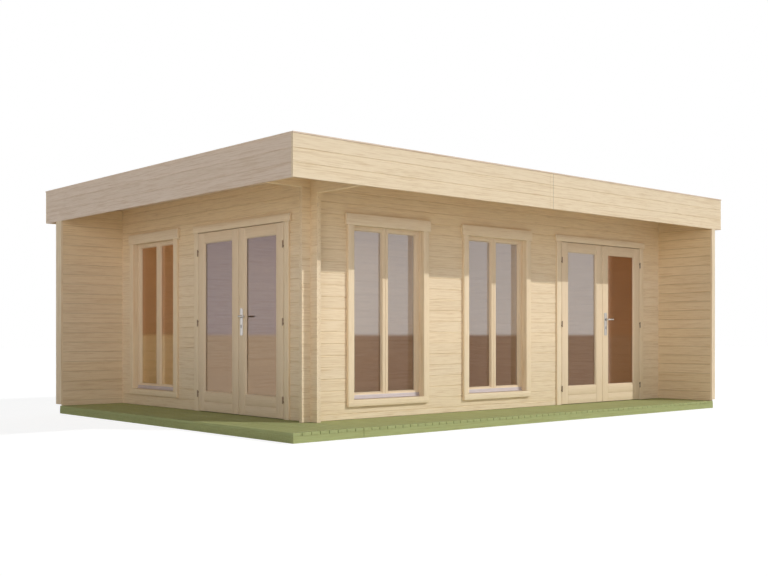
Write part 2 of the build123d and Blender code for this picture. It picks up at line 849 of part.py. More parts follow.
post_hinges = []
for name, doorway in (("front", front_doorway), ("side", side_doorway)):
    for hand, right in (("left", False), ("right", True)):
        leaf_name = f"{name}_{hand}"
        with BuildPart() as leaf:
            add(hang(doorway, door_leaf(right), right, door_gap))
        write(leaf.part, f"{leaf_name}_leaf")
        with BuildPart() as glass:
            add(hang(doorway, block(*leaf_pane()), right, door_gap))
        write(glass.part, f"{leaf_name}_glass")
        with BuildPart() as hinges:
            for level in hinge_levels():
                add(hang(doorway, hinge_half(level, True), right, door_gap / 2))
        write(hinges.part, f"{leaf_name}_hinges")
        post_hinges += [hang(doorway, hinge_half(level, False), right, door_gap / 2)
                        for level in hinge_levels()]
    with BuildPart() as plates:
        for outside in (True, False):
            add(hang(doorway, lock_plate(outside), True, door_gap))
    write(plates.part, f"{name}_lock_plates")
    with BuildPart() as handle:
        add(hang(doorway, lever(), True, door_gap))
    write(handle.part, f"{name}_lever")

with BuildPart() as hinge_posts:
    add(post_hinges)
write(hinge_posts.part, "door_hinge_posts")

print("roof", roof_len, roof_depth, "wall top", wall_top, "leaf", leaf_w, leaf_high - leaf_low)
print("hinge lines", front_door_x - half_door + door_gap / 2,
      front_door_x + half_door - door_gap / 2, "at y", house_front + hinge_axis_b)
print("side hinge lines", side_door_y - half_door + door_gap / 2,
      side_door_y + half_door - door_gap / 2, "at x", house_left + hinge_axis_b)
print("front lever", front_door_x + half_door - door_gap - leaf_w + backset,
      wall_foot + lever_up)
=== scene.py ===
"""Looks of a wooden garden house: finishes for its logs and boards, and its joinery in detail."""

import logging
import math
from dataclasses import dataclass, replace
from enum import Enum
from functools import lru_cache
from typing import Callable, Dict, List, Optional, Sequence, Tuple, Union

import bpy
import numpy as np
from mathutils import Euler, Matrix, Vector


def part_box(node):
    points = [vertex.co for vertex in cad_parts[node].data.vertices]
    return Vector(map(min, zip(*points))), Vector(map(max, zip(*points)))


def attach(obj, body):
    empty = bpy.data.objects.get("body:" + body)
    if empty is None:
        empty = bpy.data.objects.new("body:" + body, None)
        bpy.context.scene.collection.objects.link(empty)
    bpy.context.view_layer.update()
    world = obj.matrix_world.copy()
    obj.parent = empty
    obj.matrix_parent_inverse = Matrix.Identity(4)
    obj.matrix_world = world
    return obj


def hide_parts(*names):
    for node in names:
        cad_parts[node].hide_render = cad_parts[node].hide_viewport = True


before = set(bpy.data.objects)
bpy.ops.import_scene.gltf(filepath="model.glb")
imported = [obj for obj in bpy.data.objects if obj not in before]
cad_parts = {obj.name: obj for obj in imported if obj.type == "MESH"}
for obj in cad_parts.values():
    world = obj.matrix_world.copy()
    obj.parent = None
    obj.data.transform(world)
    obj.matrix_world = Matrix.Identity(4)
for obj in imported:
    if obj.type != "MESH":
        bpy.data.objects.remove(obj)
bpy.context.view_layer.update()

log = logging.getLogger("garden_house")

Colour = Tuple[float, float, float]
Array = np.ndarray
Profile = Tuple[Tuple[float, float], ...]
WHITE: Colour = (1.0, 1.0, 1.0)


def linear(red: int, green: int, blue: int) -> Colour:
    """Turn a display colour of 0 to 255 into the linear colour that shaders use.

    A part p of 0 to 1 becomes p / 12.92 up to 0.04045, and ((p + 0.055) / 1.055) ** 2.4 above.

    Args:
        red: Red of the display colour.
        green: Green of the display colour.
        blue: Blue of the display colour.

    Returns:
        The linear colour, each part from 0 to 1.
    """
    parts = np.array([red, green, blue]) / 255
    low, high = parts / 12.92, ((parts + 0.055) / 1.055) ** 2.4
    return tuple(float(part) for part in np.where(parts <= 0.04045, low, high))


def tinted(colour: Colour, *factors: float) -> Colour:
    """Multiply a colour's parts by one factor each.

    Args:
        colour: The colour to change.
        factors: A factor for red, green and blue.

    Returns:
        The changed colour.
    """
    return tuple(part * factor for part, factor in zip(colour, factors))


# Shader maths ------------------------------------------------------------------------------


class Socket:
    """An output of a node, on which shader maths is written with Python's operators."""

    def __init__(self, shader: "Shader", link: bpy.types.NodeSocket) -> None:
        """Keep the output and the shader that it belongs to."""
        self.shader = shader
        self.link = link

    def __add__(self, other: "Value") -> "Socket":
        """Sum of two values."""
        return self.shader.math("ADD", self, other)

    __radd__ = __add__

    def __sub__(self, other: "Value") -> "Socket":
        """Difference of two values."""
        return self.shader.math("SUBTRACT", self, other)

    def __rsub__(self, other: "Value") -> "Socket":
        """Difference of a number and this value."""
        return self.shader.math("SUBTRACT", other, self)

    def __mul__(self, other: "Value") -> "Socket":
        """Product of two values."""
        return self.shader.math("MULTIPLY", self, other)

    __rmul__ = __mul__

    def __truediv__(self, other: "Value") -> "Socket":
        """Quotient of two values."""
        return self.shader.math("DIVIDE", self, other)

    def __rtruediv__(self, other: "Value") -> "Socket":
        """Quotient of a number and this value."""
        return self.shader.math("DIVIDE", other, self)

    def __pow__(self, other: "Value") -> "Socket":
        """This value to a power."""
        return self.shader.math("POWER", self, other)


Value = Union[Socket, float]


class Shader:
    """A material or world under construction: every node of it is made by one method."""

    def __init__(self, name: str, made: Optional[bpy.types.ID] = None) -> None:
        """Start an empty node tree.

        Args:
            name: Name of the material.
            made: What gets the tree, where that isn't a new material.
        """
        self.owner = made or bpy.data.materials.new(name)
        self.owner.use_nodes = True
        self.tree = self.owner.node_tree
        self.tree.nodes.clear()

    def node(self, kind: str, settings: Optional[dict] = None,
             inputs: Optional[dict] = None) -> bpy.types.Node:
        """Add one node.

        Args:
            kind: The node's type.
            settings: Its properties, which are set first.
            inputs: Values or links of its sockets, by name or number.

        Returns:
            The new node.
        """
        made = self.tree.nodes.new(kind)
        for key, value in (settings or {}).items():
            setattr(made, key, value)
        for key, value in (inputs or {}).items():
            if isinstance(value, Socket):
                self.tree.links.new(value.link, made.inputs[key])
            else:
                made.inputs[key].default_value = value
        return made

    def out(self, node: bpy.types.Node, key: Union[str, int] = 0) -> Socket:
        """Wrap one output of a node."""
        return Socket(self, node.outputs[key])

    def math(self, operation: str, *values: Value) -> Socket:
        """Add a Math node on one to three values."""
        return self.out(self.node("ShaderNodeMath", {"operation": operation},
                                  dict(enumerate(values))))

    def vector(self, operation: str, *values: Union[Socket, Sequence[float]]) -> Socket:
        """Add a Vector Math node on one or two vectors."""
        return self.out(self.node("ShaderNodeVectorMath", {"operation": operation},
                                  dict(enumerate(values))))

    def step(self, value: Value, low: float, high: float) -> Socket:
        """Rise smoothly from 0 at low to 1 at high."""
        made = self.node("ShaderNodeMapRange", {"interpolation_type": "SMOOTHSTEP"},
                         {"Value": value, "From Min": low, "From Max": high})
        return self.out(made)

    def mix(self, factor: Value, first: Union[Socket, Colour],
            second: Union[Socket, Colour]) -> Socket:
        """Mix two colours.

        Args:
            factor: Share of the second colour.
            first: Colour at 0.
            second: Colour at 1.

        Returns:
            The mixed colour.
        """
        colours = [value if isinstance(value, Socket) else (*value, 1.0)
                   for value in (first, second)]
        made = self.node("ShaderNodeMix", {"data_type": "RGBA"},
                         {0: factor, 6: colours[0], 7: colours[1]})
        return self.out(made, 2)

    def combine(self, x: Value, y: Value, z: Value) -> Socket:
        """Make a vector of three values."""
        return self.out(self.node("ShaderNodeCombineXYZ", None, {0: x, 1: y, 2: z}))

    def split(self, vector: Socket) -> List[Socket]:
        """Take a vector's three values apart."""
        made = self.node("ShaderNodeSeparateXYZ", None, {0: vector})
        return [self.out(made, part) for part in range(3)]

    def noise(self, vector: Socket, detail: float = 2.0, rough: float = 0.5) -> Socket:
        """Soft noise of about one cell a unit, from 0 to 1."""
        return self.out(self.node("ShaderNodeTexNoise", None,
                                  {"Vector": vector, "Scale": 1.0, "Detail": detail,
                                   "Roughness": rough}))

    def place(self, *scales: float) -> Socket:
        """A point's place in the frame, times a scale for each axis where they are given."""
        place = self.out(self.node("ShaderNodeTexCoord"), "Object")
        return self.vector("MULTIPLY", place, scales) if scales else place

    def surface(self, inputs: dict, bump: Optional[dict] = None) -> bpy.types.ID:
        """End the material in a Principled shader.

        Args:
            inputs: Values or links of its sockets.
            bump: Those of a Bump node that feeds its normal, where it has one.

        Returns:
            The finished material.
        """
        if bump:
            relief = self.node("ShaderNodeBump", None, bump)
            inputs = {**inputs, "Normal": self.out(relief)}
        return self.finish(self.out(self.node("ShaderNodeBsdfPrincipled", None, inputs)))

    def finish(self, surface: Socket, kind: str = "Material") -> bpy.types.ID:
        """Join the surface to the output.

        Args:
            surface: Output of the last shader node.
            kind: Material, or World for a world's tree.

        Returns:
            The finished material or world.
        """
        self.node(f"ShaderNodeOutput{kind}", None, {"Surface": surface})
        return self.owner


# Finishes ----------------------------------------------------------------------------------


class Axis(Enum):
    """An axis of the frame."""

    X = 0
    Y = 1
    Z = 2


class Source(Enum):
    """Where a wood pattern gets its coordinates from."""

    OBJECT = "Object coordinates, for a CAD node"
    BOARD = "the grain attribute that each board of a piece carries"


SPRUCE = linear(237, 218, 187)
SPRUCE_TRIM = linear(240, 221, 189)
GREEN_PINE = linear(167, 174, 120)

# Factors on a wood's colour: late growth, warmer boards, knots, and painted warm shade under the
# eaves.
DARK_GRAIN = (0.72, 0.60, 0.45)
WARM_BOARD = (0.97, 0.92, 0.82)
KNOT_HEART = (0.42, 0.26, 0.16)
EAVE_SHADE_TINT = (1.03, 0.94, 0.72)

RINGS_A_METRE = 52.0
# Painted shade: heights in metres between which logs turn warmer under the eaves.
EAVE_SHADE_HEIGHTS = (1.5, 2.3)  # Metres between which logs get warmer.
WALL_CELL = 0.5  # Metres of depth in which logs of one height are the same log.
CELL_MIDDLE = 0.37  # Keeps whole numbers off the borders of the white noise's cells.


@dataclass(frozen=True)
class Layer:
    """Noise that is stretched along the grain, and the two values between which it shows.

    It has run cells a metre along the grain and span cells a metre across it, and two boards'
    patterns lie up to shift cells apart.
    """

    run: float
    span: float
    shift: float
    low: float
    high: float
    detail: float = 2.0
    rough: float = 0.5

    def noise(self, shader: Shader, along: Socket, across: Socket, depth: Socket,
              tone: Socket) -> Socket:
        """Noise at (run along + shift tone, span across, span depth)."""
        place = shader.combine(along * self.run + tone * self.shift, across * self.span,
                               depth * self.span)
        return shader.noise(place, self.detail, self.rough)


FADE = Layer(1.7, 16.0, 23.0, 0.38, 0.66, 1.0)
BAND = Layer(2.1, 62.0, 57.0, 0.46, 0.70, 2.0, 0.6)
STREAK = Layer(6.5, 105.0, 31.0, 0.44, 0.78, 2.0, 0.6)
FIBRE = Layer(26.0, 620.0, 13.0, 0.45, 0.80)


@dataclass(frozen=True)
class Wood:
    """Planed softwood: growth rings, streaks, rare knots, and a tone of its own for each board.

    The rings are sin(2 pi (across / spacing + warp)) raised to a power, where the warp is slow
    noise along the board. Bands, streaks and fibres are noise that is stretched along the
    grain, each finer than the one before. A joint is a dark line between two boards, partly
    the joint's own colour and partly painted shade in the groove, and a seam is one across
    all of them. Towards the eaves stacked logs turn warmer: painted shade and warm bounced
    light under the roof.
    """

    name: str
    colour: Colour = SPRUCE
    source: Source = Source.BOARD
    grain: Axis = Axis.X
    stack: Axis = Axis.Z
    pitch: float = 0.114
    start: float = 0.0
    rings: float = 0.12
    bands: float = 0.34
    streaks: float = 0.34
    variety: float = 0.02
    knots: float = 0.05
    # Strength of the dark line at each joint: partly the joint's own colour, partly painted shade
    # in the groove.
    joint: float = 0.0
    joint_width: float = 0.0045
    seam: Optional[float] = None
    roughness: float = 0.62
    # Share of painted warm shade that logs get towards the eaves.
    eave_shade: float = 0.0

    def coordinates(self, shader: Shader) -> Tuple[Socket, Socket, Socket, Socket]:
        """Find how far a point lies along, across and into its board, and the board's number.

        Args:
            shader: The material under construction.

        Returns:
            Distances along, across and into the board in metres, and a random 0 to 1.
        """
        if self.source is Source.BOARD:
            made = shader.node("ShaderNodeAttribute", {"attribute_name": "grain"})
            along, across, depth = shader.split(shader.out(made, "Vector"))
            tone = shader.node("ShaderNodeAttribute", {"attribute_name": "tone"})
            return along, across, depth, shader.out(tone, "Fac")
        place = shader.split(shader.place())
        other = 3 - self.grain.value - self.stack.value
        along, across, depth = (place[self.grain.value], place[self.stack.value], place[other])
        number = shader.math("FLOOR", (across - self.start) / self.pitch)
        wall = shader.math("FLOOR", depth / WALL_CELL)
        cell = shader.combine(number + CELL_MIDDLE, wall + CELL_MIDDLE, 0.0)
        random = shader.out(shader.node("ShaderNodeTexWhiteNoise", None, {"Vector": cell}))
        return along, across, depth, random

    def knot_field(self, shader: Shader, along: Socket, across: Socket, depth: Socket,
                   tone: Socket) -> Socket:
        """Knots as a field that falls from 1 in a knot's heart to 0 around it.

        Args:
            shader: The material under construction.
            along: Distance along the board.
            across: Distance across the board.
            depth: Distance into the board.
            tone: The board's random number.

        Returns:
            The field.
        """
        place = shader.combine(along * 3.1 + tone * 17.0, across * 3.6, depth * 3.6 + tone * 5.0)
        cells = shader.node("ShaderNodeTexVoronoi", None, {"Vector": place, "Scale": 1.0})
        chosen = shader.step(shader.split(shader.out(cells, "Color"))[0], 1.0 - self.knots, 1.0)
        near = 1.0 - shader.step(shader.out(cells, "Distance"), 0.02, 0.14)
        return near * chosen

    def build(self) -> bpy.types.Material:
        """Make the material.

        Returns:
            The material.
        """
        shader = Shader(self.name)
        grain = along, across, depth, tone = self.coordinates(shader)
        knot = self.knot_field(shader, *grain)
        slow = shader.noise(shader.combine(along * 0.7 + tone * 40.0, across * 4.0,
                                           depth * 4.0 + tone * 9.0), 1.0)
        phase = ((across + depth * 0.7) * RINGS_A_METRE + slow * 5.0 + knot * 2.2
                 + tone * 11.0)
        ring = (shader.math("SINE", phase * math.tau) * 0.5 + 0.5) ** 3.0
        layers = (FADE, BAND, STREAK, FIBRE)
        noises = [layer.noise(shader, *grain) for layer in layers]
        fade, band, streak, fibre = (shader.step(noise, layer.low, layer.high)
                                     for noise, layer in zip(noises, layers))
        marks = (ring * fade * self.rings + band * self.bands + streak * self.streaks
                 + fibre * (0.35 * self.streaks))
        body = shader.mix(tone * 0.3, self.colour, tinted(self.colour, *WARM_BOARD))
        # Painted shade and warm bounced light: logs turn warmer towards the eaves.
        if self.eave_shade:
            body = shader.mix(shader.step(across, *EAVE_SHADE_HEIGHTS) * self.eave_shade, body,
                              tinted(self.colour, *EAVE_SHADE_TINT))
        colour = shader.mix(marks, body, tinted(self.colour, *DARK_GRAIN))
        colour = shader.mix(shader.step(knot, 0.55, 0.95) * 0.7, colour,
                            tinted(self.colour, *KNOT_HEART))
        level = 1.0 - self.variety + 2.0 * self.variety * shader.math("FRACT", tone * 7.31)
        # Darken each joint: partly the joint's own colour, partly painted shade in the groove.
        if self.joint:
            place = shader.math("FRACT", (across - self.start) / self.pitch)
            edge = shader.math("MINIMUM", place, 1.0 - place) * self.pitch
            near = 1.0 - shader.step(edge, self.joint_width / 5, self.joint_width)
            level = level * (1.0 - self.joint * near)
        if self.seam is not None:
            edge = shader.math("ABSOLUTE", along - self.seam)
            level = level * (1.0 - 0.35 * (1.0 - shader.step(edge, 0.0015, 0.006)))
        colour = shader.vector("MULTIPLY", colour, shader.combine(level, level, level))
        return shader.surface(
            {"Base Color": colour, "Roughness": self.roughness + 0.12 * (noises[2] - 0.5),
             "Specular IOR Level": 0.25},
            {"Strength": 0.35, "Distance": 0.0006,
             "Height": 0.6 - marks * 0.6 + noises[3] * 0.25})


@dataclass(frozen=True)
class Metal:
    """Brushed or coated metal with a fine variation of its gloss."""

    name: str
    colour: Colour
    roughness: float
    metallic: float = 1.0

    def build(self) -> bpy.types.Material:
        """Make the material: the gloss follows noise that is stretched along the brushing.

        Returns:
            The material.
        """
        shader = Shader(self.name)
        brushed = shader.noise(shader.place(900.0, 900.0, 60.0))
        patch = shader.noise(shader.place(9.0, 9.0, 9.0))
        colour = shader.mix(shader.step(patch, 0.3, 0.8) * 0.3, self.colour,
                            tinted(self.colour, 0.8, 0.79, 0.78))
        rough = self.roughness + 0.10 * (brushed - 0.5) + 0.12 * (patch - 0.5)
        return shader.surface({"Base Color": colour, "Roughness": rough,
                               "Metallic": self.metallic},
                              {"Strength": 0.15, "Distance": 0.0002, "Height": brushed})


@dataclass(frozen=True)
class Glazing:
    """Coated insulating glass, which mirrors its surroundings more than it lets through.

    Its tint changes at a level: a painted reflection of the sky above it and of the ground
    below it, as such panes show where they mirror the horizon.
    """

    name: str
    # upper and lower: tints of the painted reflection above and below the level.
    upper: Colour
    lower: Colour
    cover: float = 0.30
    level: float = 0.917
    blur: float = 0.025

    def build(self) -> bpy.types.Material:
        """Make the material: a see-through mirror whose tint follows the height of a point.

        Returns:
            The material.
        """
        shader = Shader(self.name)
        # Painted reflection: the tint turns from the lower one to the upper one across the level,
        # like a mirrored horizon.
        height = shader.split(shader.place())[2]
        share = shader.step(height, self.level - self.blur, self.level + self.blur)
        wave = shader.noise(shader.place(1.3, 1.3, 1.3), 1.0)
        return shader.surface({"Base Color": shader.mix(share, self.lower, self.upper),
                               "Metallic": 1.0, "Roughness": 0.06 + 0.05 * wave,
                               "Alpha": self.cover})


@dataclass(frozen=True)
class Felt:
    """Slate-coloured roofing sheet with a mineral surface."""

    name: str
    colour: Colour

    def build(self) -> bpy.types.Material:
        """Make the material: fine grit in two tones, dusty in slow patches.

        Returns:
            The material.
        """
        shader = Shader(self.name)
        grit = shader.noise(shader.place(420.0, 420.0, 420.0), 3.0, 0.7)
        dust = shader.noise(shader.place(1.6, 1.6, 1.6), 4.0)
        colour = shader.mix(shader.step(grit, 0.35, 0.7), self.colour,
                            tinted(self.colour, 1.9, 1.9, 1.95))
        colour = shader.mix(shader.step(dust, 0.45, 0.8) * 0.2, colour,
                            tinted(self.colour, 3.0, 2.9, 2.7))
        return shader.surface({"Base Color": colour, "Roughness": 0.9},
                              {"Strength": 0.6, "Distance": 0.001, "Height": grit})


Look = Union[Wood, Metal, Glazing, Felt]

TRIM = Wood("trim_spruce", colour=SPRUCE_TRIM, bands=0.14, streaks=0.26, knots=0.0)
JOINERY = Wood("joinery_spruce", colour=tinted(SPRUCE, 0.95, 0.93, 0.92), rings=0.08,
               bands=0.1, streaks=0.2, knots=0.0, roughness=0.55)
# The soffit's orange tint is painted warm bounced light and shade under the roof.
SOFFIT_WARM_SHADE = Wood("soffit_spruce_painted_warm_shade", colour=tinted(SPRUCE, 1.08, 0.92, 0.64))
DECK = Wood("green_pine", colour=GREEN_PINE, streaks=0.3, variety=0.03, roughness=0.75)
FRAME_WOOD = Wood("window_frames", source=Source.OBJECT, grain=Axis.Z, stack=Axis.X, pitch=1.0,
                  knots=0.0, rings=0.08, streaks=0.2)
# Tints above the level are a painted reflection of the sky, and those below it a painted
# reflection of the ground.
FRONT_GLASS = Glazing("front_glass", (0.63, 0.61, 0.61), (0.21, 0.13, 0.105))
SIDE_GLASS = Glazing("side_glass", (0.29, 0.27, 0.33), (0.36, 0.27, 0.20))
# Panes that face the wings: their orange tints are a painted reflection of the wing walls.
FRONT_GLASS_WING_REFLECTION = Glazing("front_glass_painted_wing_reflection", (0.48, 0.26, 0.16), (0.48, 0.30, 0.22), 0.5)
SIDE_GLASS_WING_REFLECTION = Glazing("side_glass_painted_wing_reflection", (0.69, 0.43, 0.25), (0.87, 0.73, 0.50), 0.5)
HINGE = Metal("bronzed_steel", linear(146, 124, 100), 0.5, 0.25)
STEEL = Metal("satin_steel", linear(206, 202, 198), 0.34)
DARK_STEEL = Metal("dark_steel", linear(58, 57, 62), 0.4, 0.6)
DRIP = Metal("anodised_strip", linear(196, 184, 182), 0.5, 0.25)
SHEET = Felt("mineral_felt", linear(58, 58, 62))


@lru_cache(maxsize=None)
def material_of(look: Look) -> bpy.types.Material:
    """Build a finish where it is first used."""
    return look.build()


# Shapes ------------------------------------------------------------------------------------


@dataclass
class Solid:
    """A closed shape: its points and faces, and what the wood pattern needs at each point."""

    points: Array
    faces: List[Array]
    grain: Array
    tone: Array

    def volume(self) -> float:
        """Work out the signed volume, a sixth of the sum of a . (b x c) over fans of faces.

        Returns:
            The volume, below 0 where the faces point inwards.
        """
        total = 0.0
        for block in self.faces:
            corner = self.points[block]
            for last in range(2, block.shape[1]):
                cross = np.cross(corner[:, last - 1], corner[:, last])
                total += float(np.einsum("ij,ij->", corner[:, 0], cross))
        return total / 6.0

    def outward(self) -> "Solid":
        """Turn all faces over where they point inwards."""
        if self.volume() >= 0:
            return self
        return replace(self, faces=[block[:, ::-1] for block in self.faces])

    def moved(self, change: Callable[[Array], Array]) -> "Solid":
        """Put the points elsewhere, and keep the faces pointing outwards.

        Args:
            change: What gives the new points from the old ones.

        Returns:
            The moved shape.
        """
        return replace(self, points=change(self.points)).outward()

    def shifted(self, *offset: float) -> "Solid":
        """Shift the points by an offset."""
        return self.moved(lambda points: points + np.array(offset))


def loft(rings: Array, closed: bool = False, grain: Optional[Array] = None,
         tone: float = 0.0) -> Solid:
    """Join outlines into a closed shape: ring i, point j joins its neighbours in i and j.

    Args:
        rings: Points of the outlines, as outline by point by 3.
        closed: Whether the last outline joins the first one, without end caps.
        grain: Distances along, across and into the wood for each point, or the points.
        tone: The board's random number.

    Returns:
        The shape, with its faces outwards.
    """
    count, around = rings.shape[:2]
    numbers = np.arange(count * around).reshape(count, around)
    first = numbers if closed else numbers[:-1]
    second = np.roll(numbers, -1, 0) if closed else numbers[1:]
    sides = np.stack([first, np.roll(first, -1, 1), np.roll(second, -1, 1), second], -1)
    faces = [sides.reshape(-1, 4)]
    if not closed:
        faces += [numbers[:1, ::-1], numbers[-1:]]
    points = rings.reshape(-1, 3).astype(float)
    grain = points if grain is None else grain.reshape(-1, 3)
    return Solid(points, faces, grain.astype(float), np.full(len(points), tone)).outward()


def rounded(width: float, height: float, radius: float, steps: int = 3) -> Array:
    """Outline of a rectangle with round corners, about its middle.

    Each corner's arc is centre + radius (cos t, sin t) for t over a quarter turn.

    Args:
        width: Its size along the first axis.
        height: Its size along the second axis.
        radius: Radius of its corners.
        steps: Points on each corner.

    Returns:
        Points, as point by 2.
    """
    turn = np.linspace(0, math.pi / 2, steps) + np.arange(4)[:, None] * math.pi / 2
    signs = np.array([(1, 1), (-1, 1), (-1, -1), (1, -1)])
    centres = signs * (np.array([width, height]) / 2 - radius)
    arcs = centres[:, None] + radius * np.stack([np.cos(turn), np.sin(turn)], -1)
    return arcs.reshape(-1, 2)


def board(low: Sequence[float], high: Sequence[float], ease: float = 0.002, tone: float = 0.0,
          steps: int = 3) -> Solid:
    """A board between two corners, with its arrises eased.

    A rounded rectangle is carried along the longest side, and drawn in by the ease at both
    ends. The grain runs along it.

    Args:
        low: Its low corner.
        high: Its high corner.
        ease: Radius of its arrises.
        tone: The board's random number.
        steps: Points on each arris.

    Returns:
        The shape.
    """
    low, high = np.array(low, float), np.array(high, float)
    size, middle = high - low, (high + low) / 2
    length = int(np.argmax(size))
    across = [axis for axis in range(3) if axis != length]
    outline = rounded(size[across[0]], size[across[1]], ease, steps)
    shrink = 1 - 2 * ease / size[across]
    stations = np.array([0, ease, size[length] - ease, size[length]]) - size[length] / 2
    rings = np.zeros((4, len(outline), 3))
    rings[..., across] = outline * np.array([shrink, [1, 1], [1, 1], shrink])[:, None]
    rings[..., length] = stations[:, None]
    grain = rings[..., [length, *across]] + np.array([tone * 3, tone * 7, tone * 5])
    return loft(rings + middle, grain=grain, tone=tone)


def mitred(section: Array, middle: Tuple[float, float], size: Tuple[float, float]) -> Solid:
    """A moulding round the inside of a rectangle, mitred at its corners.

    Point j of the outline stands at corner + u_j inwards along the mitre, and at depth v_j.

    Args:
        section: Outline as (u inwards, v depth) points.
        middle: Middle of the rectangle along the wall and up.
        size: Its width and height.

    Returns:
        The shape, in the wall's own axes.
    """
    signs = np.array([(-1, -1), (1, -1), (1, 1), (-1, 1)])
    half = np.array(size) / 2
    flat = np.array(middle) + signs[:, None] * (half - section[None, :, :1])
    depth = np.broadcast_to(section[None, :, 1], flat.shape[:2])
    rings = np.stack([flat[..., 0], depth, flat[..., 1]], -1)
    return loft(rings, closed=True, grain=rings[..., [2, 0, 1]])


def turned(profile: Array, sides: int = 20) -> Solid:
    """A turned shape about the third axis: ring i is r_i (cos t, sin t) at height z_i.

    Args:
        profile: (r, z) points from one end to the other.
        sides: Points round each ring.

    Returns:
        The shape, with flat ends.
    """
    turn = np.arange(sides) * 2 * math.pi / sides
    round_points = np.stack([np.cos(turn), np.sin(turn)], -1)
    flat = profile[:, None, :1] * round_points
    height = np.broadcast_to(profile[:, None, 1:], (len(profile), sides, 1))
    return loft(np.concatenate([flat, height], -1))


def bar_along(path: Array, radius: Array, sides: int = 20) -> Solid:
    """A round bar along a path in a level plane.

    Ring i is path_i + radius_i (cos t normal_i + sin t up), where the normal is square to the
    path and to the third axis.

    Args:
        path: Points of its middle line.
        radius: Radius at each point.
        sides: Points round each ring.

    Returns:
        The shape.
    """
    along = np.gradient(path, axis=0)
    along /= np.linalg.norm(along, axis=1)[:, None]
    up = np.array([0.0, 0.0, 1.0])
    normal = np.cross(up, along)
    turn = (np.arange(sides) * 2 * math.pi / sides)[None, :, None]
    rings = path[:, None] + radius[:, None, None] * (np.cos(turn) * normal[:, None]
                                                     + np.sin(turn) * up)
    return loft(rings)


def carried(outline: Array, start: float, end: float, tone: float = 0.0) -> Solid:
    """Carry an outline straight along the first axis.

    Args:
        outline: (second axis, third axis) points.
        start: Where it starts.
        end: Where it ends.
        tone: The board's random number.

    Returns:
        The shape.
    """
    rings = np.zeros((2, len(outline), 3))
    rings[..., 1:] = outline
    rings[..., 0] = np.array([start, end])[:, None]
    return loft(rings, tone=tone)


# Pieces ------------------------------------------------------------------------------------


CREASE = 32.0  # Degrees past which an edge of a piece stays sharp.


class Slot(Enum):
    """The record's material slots that pieces of the scene belong to, by their names."""

    TRIM = "trim_wood"
    JOINERY = "joinery_wood"
    ROOF = "roof_wood"
    DECK = "impregnated_board"
    SHEET = "roof_sheet"
    GLASS = "glass"
    DRIP = "drip_metal"
    HINGE = "hinge_metal"
    HANDLE = "handle_metal"


def added(name: str, data: bpy.types.ID) -> bpy.types.Object:
    """Add an object to the scene."""
    made = bpy.data.objects.new(name, data)
    bpy.context.scene.collection.objects.link(made)
    return made


def piece(name: str, solids: Sequence[Solid], body: str, slot: Slot, look: Look,
          *stands_for: str) -> None:
    """Make one object of the scene from its shapes.

    Args:
        name: Name of the piece.
        solids: Its shapes, in the frame.
        body: The CAD body that it rides on.
        slot: The record's slot that it belongs to. It is not used.
        look: Its finish.
        stands_for: CAD nodes that it replaces.
    """
    starts = np.cumsum([0] + [len(solid.points) for solid in solids[:-1]])
    points = np.concatenate([solid.points for solid in solids])
    faces = [face for start, solid in zip(starts, solids) for block in solid.faces
             for face in (block + start).tolist()]
    mesh = bpy.data.meshes.new(name)
    mesh.from_pydata(points, [], faces)
    mesh.attributes.new("grain", "FLOAT_VECTOR", "POINT").data.foreach_set(
        "vector", np.concatenate([solid.grain for solid in solids]).astype(np.float32).ravel())
    mesh.attributes.new("tone", "FLOAT", "POINT").data.foreach_set(
        "value", np.concatenate([solid.tone for solid in solids]).astype(np.float32))
    mesh.polygons.foreach_set("use_smooth", np.ones(len(faces), bool))
    mesh.set_sharp_from_angle(angle=math.radians(CREASE))
    mesh.materials.append(material_of(look))
    mesh.update()
    made = added(name, mesh)
    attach(made, body)
    if stands_for:
        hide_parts(*stands_for)
    log.info("%s: %d faces on %s", name, len(faces), body)


def dress(look: Look, *nodes: str) -> None:
    """Give CAD nodes a finish.

    Args:
        look: The finish.
        nodes: Names of the nodes.
    """
    for name in nodes:
        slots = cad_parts[name].data.materials
        slots.clear()
        slots.append(material_of(look))
        log.info("%s: %s", name, look.name)


class Wall(Enum):
    """The two walls that have windows and doors."""

    FRONT = "front"
    SIDE = "side"


@dataclass(frozen=True)
class Opening:
    """The place of a window or door. Local a runs along the wall, b into the house, c up."""

    wall: Wall
    middle: float

    def place(self, points: Array) -> Array:
        """Move local points to the wall: (m + a, front + b, c) or (left + b, m - a, c).

        Args:
            points: Local points.

        Returns:
            Points in the frame.
        """
        along, into, up = points.T
        if self.wall is Wall.FRONT:
            return np.stack([self.middle + along, front_face() + into, up], -1)
        return np.stack([side_face() + into, self.middle - along, up], -1)


def front_face() -> float:
    """Where the outer face of the front wall stands."""
    return float(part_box("front_wall_lower")[0].y)


def side_face() -> float:
    """Where the outer face of the side wall stands."""
    return float(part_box("left_wall_lower")[0].x)


